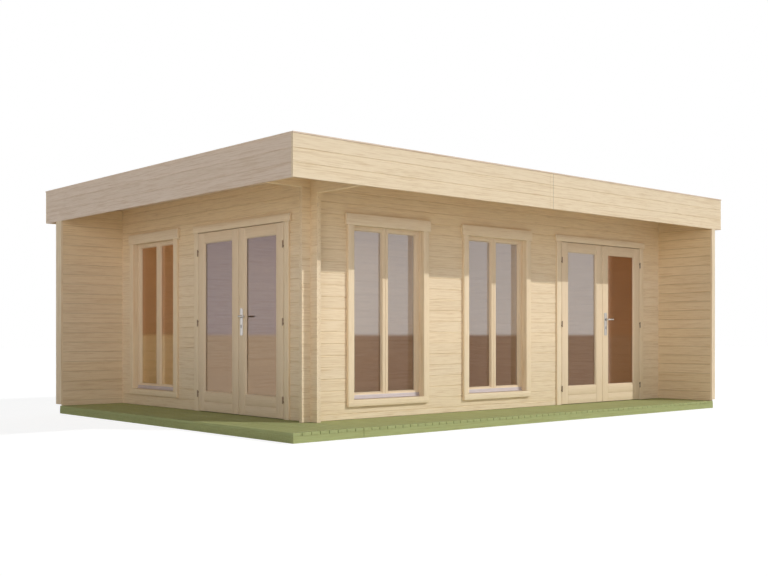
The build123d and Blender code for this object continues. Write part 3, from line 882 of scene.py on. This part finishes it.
@dataclass
class LogWalls:
    """Finishes of the log walls, whose shapes stay those of the CAD nodes."""

    log_height: float = 0.114
    wall_foot: float = 0.090
    # Dark bands at the far walls' joints: painted shade of the grooves between logs.
    far_joint: float = 0.09
    far_joint_width: float = 0.009

    def build(self) -> None:
        """Dress the walls: logs along X start half a course above those along Y."""
        # The logs get painted warm shade towards the eaves.
        long_logs = Wood("logs_along_front", source=Source.OBJECT, pitch=self.log_height,
                         start=self.wall_foot + self.log_height / 2, joint=0.03, eave_shade=0.6)
        side_logs = replace(long_logs, name="logs_along_side", grain=Axis.Y,
                            start=self.wall_foot)
        dress(long_logs, "front_wall_lower", "front_wall_piers", "front_wall_upper",
              "front_and_back_top_logs")
        dress(side_logs, "left_wall_lower", "left_wall_piers", "left_wall_upper",
              "side_top_logs")
        for logs, node, tint in ((long_logs, "back_wall", WHITE),
                                 (side_logs, "right_wall", (0.94, 0.92, 0.87))):
            dress(replace(logs, name=f"logs_of_{node}", colour=tinted(SPRUCE, *tint),
                          joint=self.far_joint, joint_width=self.far_joint_width), node)
        dress(Wood("upright_boards", source=Source.OBJECT, grain=Axis.Z, stack=Axis.X,
                   pitch=1.0), "wing_end_boards")


@dataclass
class Roof:
    """Fascias, edge strips, joists, the boards over the terrace and the sheet on top."""

    fascia_low: float = 2.251
    fascia_board: float = 0.124
    fascia_seam: float = 0.052
    board_pitch: float = 0.096
    groove: float = 0.004
    strip_width: float = 1.0
    lap: float = 0.0015
    golden: float = 0.618

    def build(self) -> None:
        """Dress the CAD nodes, and make the boarding and the sheet."""
        front = Wood("fascia_front", source=Source.OBJECT, pitch=self.fascia_board,
                     start=self.fascia_low, joint=0.02, seam=self.fascia_seam)
        # The side fascias and edge strips get a darker, bluer copy of the spruce: painted shade
        # of the sides out of the sun.
        side = replace(front, name="fascia_side_painted_shade", colour=tinted(SPRUCE, 0.93, 0.92, 1.04),
                       grain=Axis.Y, joint=0.0, seam=None)
        dress(front, "front_fascia", "back_fascia")
        dress(side, "side_fascias")
        dress(Wood("edge_strip", colour=side.colour, source=Source.OBJECT, stack=Axis.Y,
                   pitch=1.0, knots=0.0), "roof_edge_trim")
        dress(Wood("sawn_joists", source=Source.OBJECT, grain=Axis.Y, stack=Axis.X, pitch=0.3,
                   roughness=0.75), "roof_joists")
        self.boarding()
        self.sheet()

    def boarding(self) -> None:
        """Boards under the sheet, with a V between each two on their lower face.

        The section is a row of (y, z) points, z rising by the groove's depth at each joint.
        Board n has the tone of the fraction of n times the golden ratio.
        """
        low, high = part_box("roof_boards")
        count = round((high.y - low.y) / self.board_pitch)
        joints = np.linspace(low.y, high.y, count + 1)
        solids = []
        for number, (near, far) in enumerate(zip(joints[:-1], joints[1:])):
            outline = np.array([(near, low.z + self.groove), (near + self.groove, low.z),
                                (far - self.groove, low.z), (far, low.z + self.groove),
                                (far, high.z), (near, high.z)])
            tone = math.modf(number * self.golden)[0]
            solids.append(carried(outline, low.x, high.x, tone))
        piece("soffit_boards", solids, "house", Slot.ROOF, SOFFIT_WARM_SHADE, "roof_boards")

    def sheet(self) -> None:
        """Strips of roofing sheet that lap over one another.

        Each strip's top rises from (lap) below the full thickness to all of it at its lap.
        """
        low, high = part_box("roof_covering")
        count = round((high.y - low.y) / self.strip_width)
        joints = np.linspace(low.y, high.y, count + 1)
        near, far = joints[:-1], joints[1:]
        top = np.stack([np.stack([near, np.full(count, high.z - self.lap)], -1),
                        np.stack([far, np.full(count, high.z)], -1)], 1).reshape(-1, 2)
        outline = np.concatenate([top, [(high.y, low.z), (low.y, low.z)]])
        piece("roofing_sheet", [carried(outline, low.x, high.x)], "house", Slot.SHEET, SHEET,
              "roof_covering")


@dataclass
class Terrace:
    """Boards of the terrace and of the floor, on their bearers."""

    pitch: float = 0.095
    gap: float = 0.005
    ease: float = 0.003
    tuck: float = 0.005
    bearer_inset: float = 0.023
    side_bearers: int = 10
    screw_radius: float = 0.004
    screw_inset: float = 0.022

    def row(self, low: Array, high: Array, seed: int) -> Tuple[List[Solid], Array]:
        """Boards side by side over a rectangle.

        Args:
            low: Its low corner.
            high: Its high corner.
            seed: Start of the boards' random numbers.

        Returns:
            The boards, and the middle of each along the first axis.
        """
        width = high[0] - low[0]
        count = round((width + self.gap) / self.pitch)
        pitch = (width + self.gap) / count
        starts = low[0] + pitch * np.arange(count)
        tones = np.random.default_rng(seed).random(count)
        solids = [board((start, low[1], low[2]), (start + pitch - self.gap, high[1], high[2]),
                        self.ease, tone) for start, tone in zip(starts, tones)]
        return solids, starts + (pitch - self.gap) / 2

    def screws(self, middles: Array, lines: Array, top: float) -> List[Solid]:
        """Two countersunk screw heads in each board over each bearer.

        Args:
            middles: Middle of each board along the first axis.
            lines: Middle of each bearer along the second axis.
            top: Height of the boards' top.

        Returns:
            The heads.
        """
        radius = self.screw_radius
        head = turned(np.array([(radius, -0.002), (radius, 0.0002), (radius * 0.8, 0.0005)]), 10)
        return [head.shifted(middle + side * self.screw_inset, line, top)
                for middle in middles for line in lines for side in (-1, 1)]

    def build(self) -> None:
        """Make the terrace's boards and screws, and dress what carries them."""
        low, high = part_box("decking")
        wall, front = side_face() + self.tuck, front_face() + self.tuck
        side_boards, side_middles = self.row((low.x, low.y, low.z), (wall, high.y, high.z), 3)
        front_boards, front_middles = self.row((wall + self.gap, low.y, low.z),
                                               (high.x, front, high.z), 4)
        piece("terrace_boards", side_boards + front_boards, "house", Slot.DECK, DECK, "decking")
        start, inset = low.y + self.bearer_inset, self.bearer_inset
        heads = self.screws(side_middles, np.linspace(start, high.y - inset, self.side_bearers),
                            high.z)
        heads += self.screws(front_middles, np.array([start, front - inset]), high.z)
        piece("terrace_screws", heads, "house", Slot.DECK, STEEL)
        dress(Wood("green_beams", colour=GREEN_PINE, source=Source.OBJECT, pitch=1.0,
                   roughness=0.8), "deck_frames", "foundation_frame")
        dress(Wood("floor_boards", source=Source.OBJECT, grain=Axis.Y, stack=Axis.X,
                   pitch=self.pitch, start=float(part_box("floor")[0].x), joint=0.5), "floor")


# Joinery -----------------------------------------------------------------------------------


@dataclass(frozen=True)
class Casing:
    """Trim boards on a wall round an opening. The top one has ears, and stands proud."""

    depth: float
    side: float
    top: float
    ear: float = 0.025
    proud: float = 0.003

    def boards(self, half: float, low: float, high: float,
               tones: Sequence[float]) -> List[Solid]:
        """Two upright boards, and the one over them.

        Args:
            half: Half of the opening's width.
            low: Foot of the upright boards.
            high: Their head.
            tones: Random numbers of the left, right and top board.

        Returns:
            The boards, in the wall's own axes.
        """
        out = half + self.side
        return [board((-out, -self.depth, low), (-half, 0, high), 0.003, tones[0]),
                board((half, -self.depth, low), (out, 0, high), 0.003, tones[1]),
                board((-out - self.ear, -self.depth - self.proud, high),
                      (out + self.ear, 0, high + self.top), 0.004, tones[2])]


def framed(rows: Sequence[Sequence[float]], front: float, back: float) -> List[Solid]:
    """Stiles and rails of one depth: each row is from, to, foot, head, ease and tone."""
    return [board((left, front, foot), (right, back, head), ease, tone)
            for left, right, foot, head, ease, tone in rows]


def beads(outside: Profile, reach: float, pane: float, back: float,
          sight: Sequence[float]) -> List[Solid]:
    """A bead round each face of a pane. The inner one slopes from the pane to the back.

    Args:
        outside: Section of the outer one, as (inwards, depth) points.
        reach: How far the inner one covers the pane.
        pane: Depth of the pane's inner face.
        back: Depth of the frame's inner face.
        sight: The opening in the frame: from and to along the wall, foot and head.

    Returns:
        The beads, in the wall's own axes.
    """
    left, right, foot, head = sight
    inside = ((0.0, pane), (reach, pane), (0.004, back - 0.002), (0.0, back - 0.002))
    return [mitred(np.array(section), ((left + right) / 2, (foot + head) / 2),
                   (right - left, head - foot)) for section in (outside, inside)]


@dataclass
class Windows:
    """The three fixed windows: trim boards, sashes with their beads, and drip bars."""

    openings: Sequence[Opening]
    width: float = 0.942
    low: float = 0.280
    high: float = 1.995
    casing: Casing = Casing(0.030, 0.075, 0.112)
    trim_bottom: float = 0.066
    sash_face: float = 0.046
    sash_depth: float = 0.056
    rebate: float = 0.012
    play: float = 0.003
    stile: float = 0.054
    meeting: float = 0.035
    top_rail: float = 0.045
    bottom_rail: float = 0.066
    pane_face: float = 0.024
    pane_depth: float = 0.004
    pane_bite: float = 0.010
    bead: float = 0.011
    drip_height: float = 0.038
    drip_proud: float = 0.014

    @property
    def sight(self) -> Tuple[float, float, float, float]:
        """Opening in the right sash: from and to along the wall, foot and head."""
        return (self.play / 2 + self.meeting,
                self.width / 2 + self.rebate - self.play - self.stile,
                self.low - self.rebate + self.play + self.bottom_rail,
                self.high + self.rebate - self.play - self.top_rail)

    def trims(self, opening: Opening) -> List[Solid]:
        """Boards on the wall round one window.

        Args:
            opening: The window's place.

        Returns:
            The boards.
        """
        half, out = self.width / 2, self.width / 2 + self.casing.side
        tone = abs(math.modf(opening.middle * 3.7)[0])
        boards = [board((-out, -self.casing.depth, self.low - self.trim_bottom),
                        (out, 0, self.low), 0.003, tone)]
        boards += self.casing.boards(half, self.low, self.high, (0.3, 0.7, 1 - tone))
        return [solid.moved(opening.place) for solid in boards]

    def sash(self, opening: Opening, side: int) -> List[Solid]:
        """One sash: two stiles, two rails, and a bead round the pane on both faces.

        Args:
            opening: The window's place.
            side: -1 for the left sash, 1 for the right one.

        Returns:
            Its shapes.
        """
        near, far, low, high = self.sight
        foot, head = low - self.bottom_rail, high + self.top_rail
        front, back = self.sash_face, self.sash_face + self.sash_depth
        rows = ((far, far + self.stile, foot, head, 0.2 + 0.1 * side),
                (near - self.meeting, near, foot, head, 0.6),
                (near, far, foot, low, 0.45), (near, far, high, head, 0.9))
        parts = framed([(*sorted((side * start, side * end)), bottom, top, 0.002, tone)
                        for start, end, bottom, top, tone in rows], front, back)
        pane = front + self.pane_face
        outside = ((0.0, front + 0.004), (0.003, front + 0.004), (self.bead, pane), (0.0, pane))
        parts += beads(outside, self.bead, pane + self.pane_depth, back,
                       (*sorted((side * near, side * far)), low, high))
        return [solid.moved(opening.place) for solid in parts]

    def pane(self, opening: Opening, side: int) -> Solid:
        """Pane of one sash, let into its stiles and rails.

        Args:
            opening: The window's place.
            side: -1 for the left sash, 1 for the right one.

        Returns:
            The pane.
        """
        near, far, low, high = self.sight
        bite, face = self.pane_bite, self.sash_face + self.pane_face
        ends = sorted((side * (near - bite), side * (far + bite)))
        return board((ends[0], face, low - bite), (ends[1], face + self.pane_depth, high + bite),
                     0.0006).moved(opening.place)

    def drip(self, opening: Opening) -> Solid:
        """Bent strip along the foot of the sashes: its outline is an S of straight lines.

        Args:
            opening: The window's place.

        Returns:
            The strip.
        """
        foot = self.low + 0.004
        face, proud = self.sash_face, self.sash_face - self.drip_proud
        top = foot + self.drip_height
        outline = np.array([(face, top), (face - 0.002, top), (face - 0.003, top - 0.002),
                            (face - 0.003, foot + 0.014), (face - 0.006, foot + 0.010),
                            (proud + 0.001, foot + 0.003), (proud, foot + 0.002),
                            (proud, foot), (proud + 0.002, foot), (face, foot + 0.009)])
        half = self.width / 2 - self.play
        return carried(outline, -half, half).moved(opening.place)

    def build(self) -> None:
        """Make the pieces of all windows."""
        trims = [solid for opening in self.openings for solid in self.trims(opening)]
        piece("window_trim_boards", trims, "house", Slot.TRIM, TRIM, "window_trims")
        sashes = [solid for opening in self.openings for side in (-1, 1)
                  for solid in self.sash(opening, side)]
        piece("window_sash_frames", sashes, "house", Slot.JOINERY, JOINERY, "window_sashes")
        piece("drip_strips", [self.drip(opening) for opening in self.openings], "house",
              Slot.DRIP, DRIP, "window_drip_bars")
        dress(FRAME_WOOD, "window_frames")
        # The side windows' panes get the painted reflection of a wing wall.
        for wall, glass in ((Wall.FRONT, FRONT_GLASS), (Wall.SIDE, SIDE_GLASS_WING_REFLECTION)):
            panes = [self.pane(opening, side) for opening in self.openings
                     if opening.wall is wall for side in (-1, 1)]
            piece(f"{wall.value}_window_panes", panes, "house", Slot.GLASS, glass,
                  "window_glass")


@dataclass(frozen=True)
class LeverSet:
    """Plate, lock cylinder and lever on one face of a leaf, whose hinge edge is at 0.

    Turned profiles are (radius, height over the plate's face) points.
    """

    spindle: float
    face: float
    out: float
    plate_size: Tuple[float, float] = (0.050, 0.280)
    plate_depth: float = 0.008
    plate_foot: float = 0.912
    screw_inset: float = 0.018
    cylinder_level: float = 1.014
    level: float = 1.108
    stand_off: float = 0.048
    length: float = 0.105
    radius: float = 0.009
    bend: float = 0.016
    tip: float = 0.006
    screw: Profile = ((0.0042, -0.0010), (0.0042, 0.0004), (0.0034, 0.0010))
    cylinder: Profile = ((0.0085, -0.0010), (0.0085, 0.0022), (0.0078, 0.0030))
    plug: Profile = ((0.0058, 0.0026), (0.0058, 0.0034), (0.0054, 0.0038))
    collar: Profile = ((0.0145, 0.0003), (0.0145, 0.0040), (0.0135, 0.0060), (0.0110, 0.0070))

    def plate(self) -> Solid:
        """Long plate: ring k is a rounded rectangle that shrinks towards the plate's face.

        Returns:
            The shape.
        """
        width, height = self.plate_size
        rise = self.plate_depth - np.array([self.plate_depth, 0.0025, 0.0008, 0.0])
        outlines = np.stack([rounded(width - 2 * step, height - 2 * step, width / 4 - step, 6)
                             for step in (0.0, 0.0, 0.0008, 0.0028)])
        rings = np.zeros((*outlines.shape[:2], 3))
        rings[..., 0] = outlines[..., 0] + self.spindle
        rings[..., 1] = (self.face + self.out * rise)[:, None]
        rings[..., 2] = outlines[..., 1] + self.plate_foot + height / 2
        return loft(rings)

    def disc(self, profile: Profile, level: float, sides: int = 20) -> Solid:
        """A turned shape on the plate: (x, y, z) goes to (spindle + x, face + z, level + y).

        Args:
            profile: (radius, height over the plate's face) points.
            level: Height of its middle.
            sides: Points round it.

        Returns:
            The shape.
        """
        solid = turned(np.array(profile) + np.array([0.0, self.plate_depth]), sides)
        return solid.moved(lambda points: np.stack(
            [points[:, 0] + self.spindle, self.face + self.out * points[:, 2],
             points[:, 1] + level], -1))

    def block(self, half: float, depths: Sequence[float], levels: Sequence[float],
              ease: float) -> Solid:
        """An upright block on the plate.

        Args:
            half: Half of its width.
            depths: How far out of the leaf it starts and ends.
            levels: Its foot and head, from the middle of the cylinder.
            ease: Radius of its arrises.

        Returns:
            The shape.
        """
        near, far = sorted(self.face + self.out * depth for depth in depths)
        low, high = (self.cylinder_level + level for level in levels)
        return board((self.spindle - half, near, low), (self.spindle + half, far, high), ease)

    def furniture(self) -> Tuple[List[Solid], List[Solid]]:
        """The plate with its screws and key plug, and the dark cylinder with its key slot.

        Returns:
            The steel shapes, and the dark ones.
        """
        top, inset = self.plate_depth, self.screw_inset
        screws = [self.disc(self.screw, self.plate_foot + level, 12)
                  for level in (inset, self.plate_size[1] - inset)]
        stem = self.block(0.005, (0.0, top + 0.0026), (-0.0245, -0.004), 0.002)
        slot = self.block(0.0009, (top + 0.0034, top + 0.0040), (-0.0045, 0.0045), 0.0002)
        plug, cylinder = (self.disc(profile, self.cylinder_level)
                          for profile in (self.plug, self.cylinder))
        return [self.plate(), *screws, plug], [cylinder, stem, slot]

    def lever(self) -> List[Solid]:
        """A lever: a round bar that turns towards the hinges on a bend, and its collar.

        The middle line is straight out, a quarter circle, and straight along the leaf.

        Returns:
            The bar and the collar.
        """
        bend, tip = self.bend, self.tip
        reach, end = self.plate_depth + self.stand_off - self.radius, self.length - tip
        turn = np.linspace(0, math.pi / 2, 9)
        stem = np.stack([np.zeros(3), np.linspace(0.001, reach - bend, 3)], -1)
        arc = np.stack([bend * (1 - np.cos(turn)), reach - bend + bend * np.sin(turn)], -1)[1:]
        run = np.concatenate([np.linspace(bend + 0.004, end, 8), end + tip * np.sin(turn[1:])])
        path = np.concatenate([stem, arc, np.stack([run, np.full(len(run), reach)], -1)])
        radii = np.full(len(path), self.radius)
        radii[1 - len(turn):] = self.radius - tip + tip * np.cos(turn[1:])
        points = np.stack([self.spindle - path[:, 0], self.face + self.out * path[:, 1],
                           np.full(len(path), self.level)], -1)
        return [bar_along(points, radii), self.disc(self.collar, self.level, 24)]


@dataclass
class Doors:
    """The two double doors: trims, leaves, hinges and lever sets.

    A leaf's shapes are made with its hinge edge at 0, for the left leaf. The right leaf is its
    mirror image.
    """

    openings: Dict[str, Opening]
    width: float = 1.576
    head: float = 2.025
    foot: float = 0.090
    casing: Casing = Casing(0.020, 0.081, 0.075)
    gap: float = 0.007
    leaf_depth: float = 0.044
    stile: float = 0.115
    top_rail: float = 0.103
    bottom_rail: float = 0.203
    pane_face: float = 0.020
    pane_depth: float = 0.005
    bead: float = 0.013
    hinge_radius: float = 0.0065
    hinge_half: float = 0.036
    hinge_tip: float = 0.005
    hinge_levels: Tuple[float, ...] = (0.280, 1.046, 1.805)
    backset: float = 0.060

    @property
    def leaf_width(self) -> float:
        """Width of a leaf."""
        return (self.width - 3 * self.gap) / 2

    def face(self, outside: bool) -> Tuple[float, float]:
        """Depth of a leaf's outer or inner face, and the way out of it."""
        front = -self.casing.depth
        return (front, -1.0) if outside else (front + self.leaf_depth, 1.0)

    def hang(self, doorway: Opening, right: bool, solids: Sequence[Solid]) -> List[Solid]:
        """Put shapes of a leaf into its doorway: a = e + x, mirrored for the right leaf.

        Args:
            doorway: The door's place.
            right: Whether they belong to the right leaf.
            solids: The shapes, with the leaf's hinge edge at 0.

        Returns:
            The placed shapes.
        """
        mirror = np.array([-1.0 if right else 1.0, 1.0, 1.0])
        edge = np.array([-self.width / 2 + self.gap, 0.0, 0.0])
        return [solid.moved(lambda points: doorway.place((points + edge) * mirror))
                for solid in solids]

    def leaf(self) -> List[Solid]:
        """Stiles, rails, the two boards at the foot, and beads round the pane.

        Returns:
            The shapes, with the leaf's hinge edge at 0.
        """
        (front, _), (back, _) = self.face(True), self.face(False)
        low, high = self.foot + self.gap, self.head - self.gap
        sight_low, sight_high = low + self.bottom_rail, high - self.top_rail
        near, far = self.stile, self.leaf_width - self.stile
        seam = (low + sight_low) / 2
        parts = framed(((0, near, low, high, 0.0025, 0.25),
                        (far, self.leaf_width, low, high, 0.0025, 0.5),
                        (near, far, sight_high, high, 0.0025, 0.75),
                        (near, far, low, seam, 0.003, 0.1),
                        (near, far, seam, sight_low, 0.003, 0.65)), front, back)
        pane = front + self.pane_face
        outside = ((0.0, front + 0.003), (0.003, front + 0.003), (self.bead, pane - 0.004),
                   (self.bead, pane), (0.0, pane))
        return parts + beads(outside, self.bead, pane + self.pane_depth, back,
                             (near, far, sight_low, sight_high))

    def hinge(self, level: float, upper: bool) -> List[Solid]:
        """Half a hinge: a turned barrel with a rounded tip, and the foot that carries it.

        Args:
            level: Height of the gap between the halves.
            upper: Whether it is the half on the leaf.

        Returns:
            The shapes, with the leaf's hinge edge at 0.
        """
        side = 1.0 if upper else -1.0
        radius, tip, middle = self.hinge_radius, self.hinge_tip, -self.gap / 2
        front = self.face(True)[0]
        bend = np.linspace(0, math.pi / 2, 5)
        dome = np.stack([radius * (0.45 + 0.55 * np.cos(bend)),
                         self.hinge_half - tip + tip * np.sin(bend)], -1)
        profile = np.concatenate([[(radius - 0.0012, 0.0003), (radius, 0.0015)], dome])
        profile[:, 1] *= side
        barrel = turned(profile).shifted(middle, front - radius - 0.001, level)
        ends = sorted((middle + side * 0.001, middle + side * 0.010))
        levels = sorted((level + side * 0.010, level + side * 0.026))
        return [barrel, board((ends[0], front - 0.006, levels[0]), (ends[1], front, levels[1]),
                              0.0006)]

    def build(self) -> None:
        """Make the pieces of both doors."""
        tones = (0.15, 0.55, 0.8)
        trims = [solid.moved(doorway.place) for doorway in self.openings.values()
                 for solid in self.casing.boards(self.width / 2, self.foot, self.head, tones)]
        piece("door_trim_boards", trims, "house", Slot.TRIM, TRIM, "door_trims")
        posts = []
        for name, doorway in self.openings.items():
            for hand in ("left", "right"):
                right, body = hand == "right", f"{name}_{hand}_leaf"
                piece(f"{name}_{hand}_leaf_frame", self.hang(doorway, right, self.leaf()), body,
                      Slot.JOINERY, JOINERY, body)
                # The front door's right leaf gets the painted reflection of a wing wall.
                glass = (SIDE_GLASS if doorway.wall is Wall.SIDE else
                         FRONT_GLASS_WING_REFLECTION if right else FRONT_GLASS)
                dress(glass, f"{name}_{hand}_glass")
                uppers, lowers = ([solid for level in self.hinge_levels
                                   for solid in self.hinge(level, upper)]
                                  for upper in (True, False))
                piece(f"{name}_{hand}_hinge_barrels", self.hang(doorway, right, uppers), body,
                      Slot.HINGE, HINGE, f"{name}_{hand}_hinges")
                posts += self.hang(doorway, right, lowers)
            self.lever_set(name, doorway)
        piece("hinge_posts", posts, "house", Slot.HINGE, HINGE, "door_hinge_posts")
        for name, axis in (("front", Axis.X), ("side", Axis.Y)):
            upright = replace(FRAME_WOOD, name=f"{name}_door_frame", stack=axis)
            dress(upright, f"{name}_door_jambs")
            dress(replace(upright, name=f"{name}_door_head", grain=axis, stack=Axis.Z),
                  f"{name}_door_head_and_sill")

    def lever_set(self, name: str, doorway: Opening) -> None:
        """Make the plates and levers of one door.

        Args:
            name: The door's name.
            doorway: Its place.
        """
        steel, dark, levers, collars = [], [], [], []
        for outside in (True, False):
            fitting = LeverSet(self.leaf_width - self.backset, *self.face(outside))
            shown, hidden = fitting.furniture()
            handle, collar = self.hang(doorway, True, fitting.lever())
            steel += self.hang(doorway, True, shown)
            dark += self.hang(doorway, True, hidden)
            levers.append(handle)
            collars.append(collar)
        leaf, lever = f"{name}_right_leaf", f"{name}_lever"
        piece(f"{name}_lever_plates", steel, leaf, Slot.HANDLE, STEEL, f"{name}_lock_plates")
        piece(f"{name}_lock_cylinders", dark, leaf, Slot.HANDLE, DARK_STEEL)
        piece(f"{name}_lever_handles", levers, lever, Slot.HANDLE, STEEL, lever)
        piece(f"{name}_lever_collars", collars, lever, Slot.HANDLE, DARK_STEEL)


# Studio ------------------------------------------------------------------------------------


def turned_to(travel: Sequence[float]) -> Euler:
    """Turn of a lamp whose light travels a given way."""
    return Vector(travel).to_track_quat("-Z", "Y").to_euler()


@dataclass(frozen=True)
class Lamp:
    """A far lamp: a low spread gives crisp shadows, a high one soft ones."""

    name: str
    travel: Tuple[float, float, float]
    strength: float
    spread: float
    colour: Colour = WHITE

    def build(self) -> None:
        """Add the lamp, turned so that its light travels the right way."""
        data = bpy.data.lights.new(self.name, "SUN")
        data.energy, data.angle = self.strength, math.radians(self.spread)
        data.color = self.colour
        added(self.name, data).rotation_euler = turned_to(self.travel)


@dataclass(frozen=True)
class Panel:
    """A soft panel of light near the house, itself out of sight, in place of bounced light."""

    name: str
    place: Tuple[float, float, float]
    travel: Tuple[float, float, float]
    size: Tuple[float, float]
    power: float
    colour: Colour = WHITE

    def build(self) -> None:
        """Add the panel, whose first size runs along the level."""
        data = bpy.data.lights.new(self.name, "AREA")
        data.shape, data.energy, data.color = "RECTANGLE", self.power, self.colour
        data.size, data.size_y = self.size
        made = added(self.name, data)
        made.location, made.rotation_euler = self.place, turned_to(self.travel)
        made.visible_camera = made.visible_glossy = made.visible_transmission = False


@dataclass(frozen=True)
class Studio:
    """Floor, light and camera."""

    camera_place: Tuple[float, float, float] = (-8.601, -9.5485, 0.917)
    camera_turn: float = -41.5
    lens: float = 48.85
    shift: float = 0.0612
    lamps: Tuple[Lamp, ...] = (
        Lamp("sun", (-0.79, 1.0, -0.925), 2.00, 0.7, (0.98, 1.0, 1.02)),
        Lamp("fill_left", (0.75, 0.65, -0.02), 1.30, 42.0, (0.97, 0.93, 1.0)),
        Lamp("fill_back", (-0.65, -0.70, -0.30), 0.75, 60.0))
    sky_colour: Colour = (0.95, 1.0, 0.98)
    sky_strength: float = 0.20
    panels: Tuple[Panel, ...] = (
        Panel("room_light", (0.3, 0.2, 2.38), (0.0, 0.0, -1.0), (3.4, 2.2), 23.0),
        Panel("front_warm", (-0.3, -2.35, 0.9), (0.0, 0.75, 0.66), (6.0, 0.4), 1.5,
              (1.0, 0.66, 0.28)),
        Panel("front_low", (-0.3, -2.4, 0.14), (0.0, 0.95, 0.3), (6.0, 0.3), 1.6,
              (0.9, 0.85, 1.0)),
        Panel("left_warm", (-3.25, -0.5, 1.1), (0.75, 0.0, 0.66), (4.0, 0.4), 0.7,
              (1.0, 0.70, 0.35)))
    footprint: Tuple[Tuple[float, float], ...] = ((-3.30, -2.41), (3.14, 2.05))
    floor_reach: float = 60.0
    floor_glow: float = 0.72
    floor_tone: float = 0.93
    glow_strength: float = 1.18
    floor_drop: float = 0.001

    def camera(self) -> None:
        """Stand the camera where the photograph was taken from, looking level."""
        bpy.context.scene.view_settings.view_transform = "Standard"
        data = bpy.data.cameras.new("camera")
        data.lens, data.shift_y = self.lens, self.shift
        made = added("camera", data)
        made.location = self.camera_place
        made.rotation_euler = (math.pi / 2, 0.0, math.radians(self.camera_turn))
        bpy.context.scene.camera = made

    def world(self) -> None:
        """White to the camera, to mirrors and through glass, and an even sky to the rest."""
        world = bpy.data.worlds.new("world")
        bpy.context.scene.world = world
        shader = Shader("world", world)
        sky = shader.node("ShaderNodeBackground", None,
                          {"Color": (*self.sky_colour, 1.0), "Strength": self.sky_strength})
        white = shader.node("ShaderNodeBackground", None,
                            {"Color": (*WHITE, 1.0), "Strength": 1.0})
        both = shader.node("ShaderNodeMixShader", None,
                           {0: self.seen(shader), 1: shader.out(sky), 2: shader.out(white)})
        shader.finish(shader.out(both), "World")

    @staticmethod
    def seen(shader: Shader) -> Socket:
        """1 for a ray from the camera, a mirror or a see-through surface, and 0 otherwise.

        Args:
            shader: The material or world under construction.

        Returns:
            The value.
        """
        path = shader.node("ShaderNodeLightPath")
        rays = [shader.out(path, f"Is {kind} Ray") for kind in ("Camera", "Glossy",
                                                                "Transmission")]
        return shader.math("MAXIMUM", shader.math("MAXIMUM", rays[0], rays[1]), rays[2])

    def floor(self) -> None:
        """A wide pale floor, lightened where the camera sees it, which keeps a shadow.

        Under the house it isn't lightened: there |x - middle| / half and the same of y are
        both below 1.
        """
        shader = Shader("studio_floor")
        place = shader.split(shader.out(shader.node("ShaderNodeTexCoord"), "Object"))
        reach = [shader.math("ABSOLUTE", value - (near + far) / 2) / ((far - near) / 2)
                 for value, near, far in zip(place, *self.footprint)]
        beside = shader.step(shader.math("MAXIMUM", *reach), 0.99, 1.0)
        pale = shader.node("ShaderNodeBsdfDiffuse", None,
                           {"Color": (*[self.floor_tone] * 3, 1.0)})
        glow = shader.node("ShaderNodeEmission", None,
                           {"Color": (*WHITE, 1.0), "Strength": self.glow_strength})
        both = shader.node("ShaderNodeMixShader", None,
                           {0: self.seen(shader) * beside * self.floor_glow,
                            1: shader.out(pale), 2: shader.out(glow)})
        mesh = bpy.data.meshes.new("studio_floor")
        corners = self.floor_reach * np.array([(-1, -1, 0), (1, -1, 0), (1, 1, 0), (-1, 1, 0)])
        mesh.from_pydata(corners, [], [(0, 1, 2, 3)])
        mesh.materials.append(shader.finish(shader.out(both)))
        made = added("studio_floor", mesh)
        made.location = (0.0, 0.0, -self.floor_drop)

    def build(self) -> None:
        """Set the whole studio up."""
        self.camera()
        for light in (*self.lamps, *self.panels):
            light.build()
        self.world()
        self.floor()


def main() -> None:
    """Build the house's looks in order."""
    logging.basicConfig(level=logging.INFO, format="%(message)s")
    Studio().build()
    LogWalls().build()
    Roof().build()
    Terrace().build()
    front_door, side_door = Opening(Wall.FRONT, 1.923), Opening(Wall.SIDE, -0.4985)
    windows = (Opening(Wall.FRONT, -1.592), Opening(Wall.FRONT, 0.025),
               Opening(Wall.SIDE, 1.2755))
    Windows(windows).build()
    Doors({"front": front_door, "side": side_door}).build()


if __name__ == "__main__":
    main()
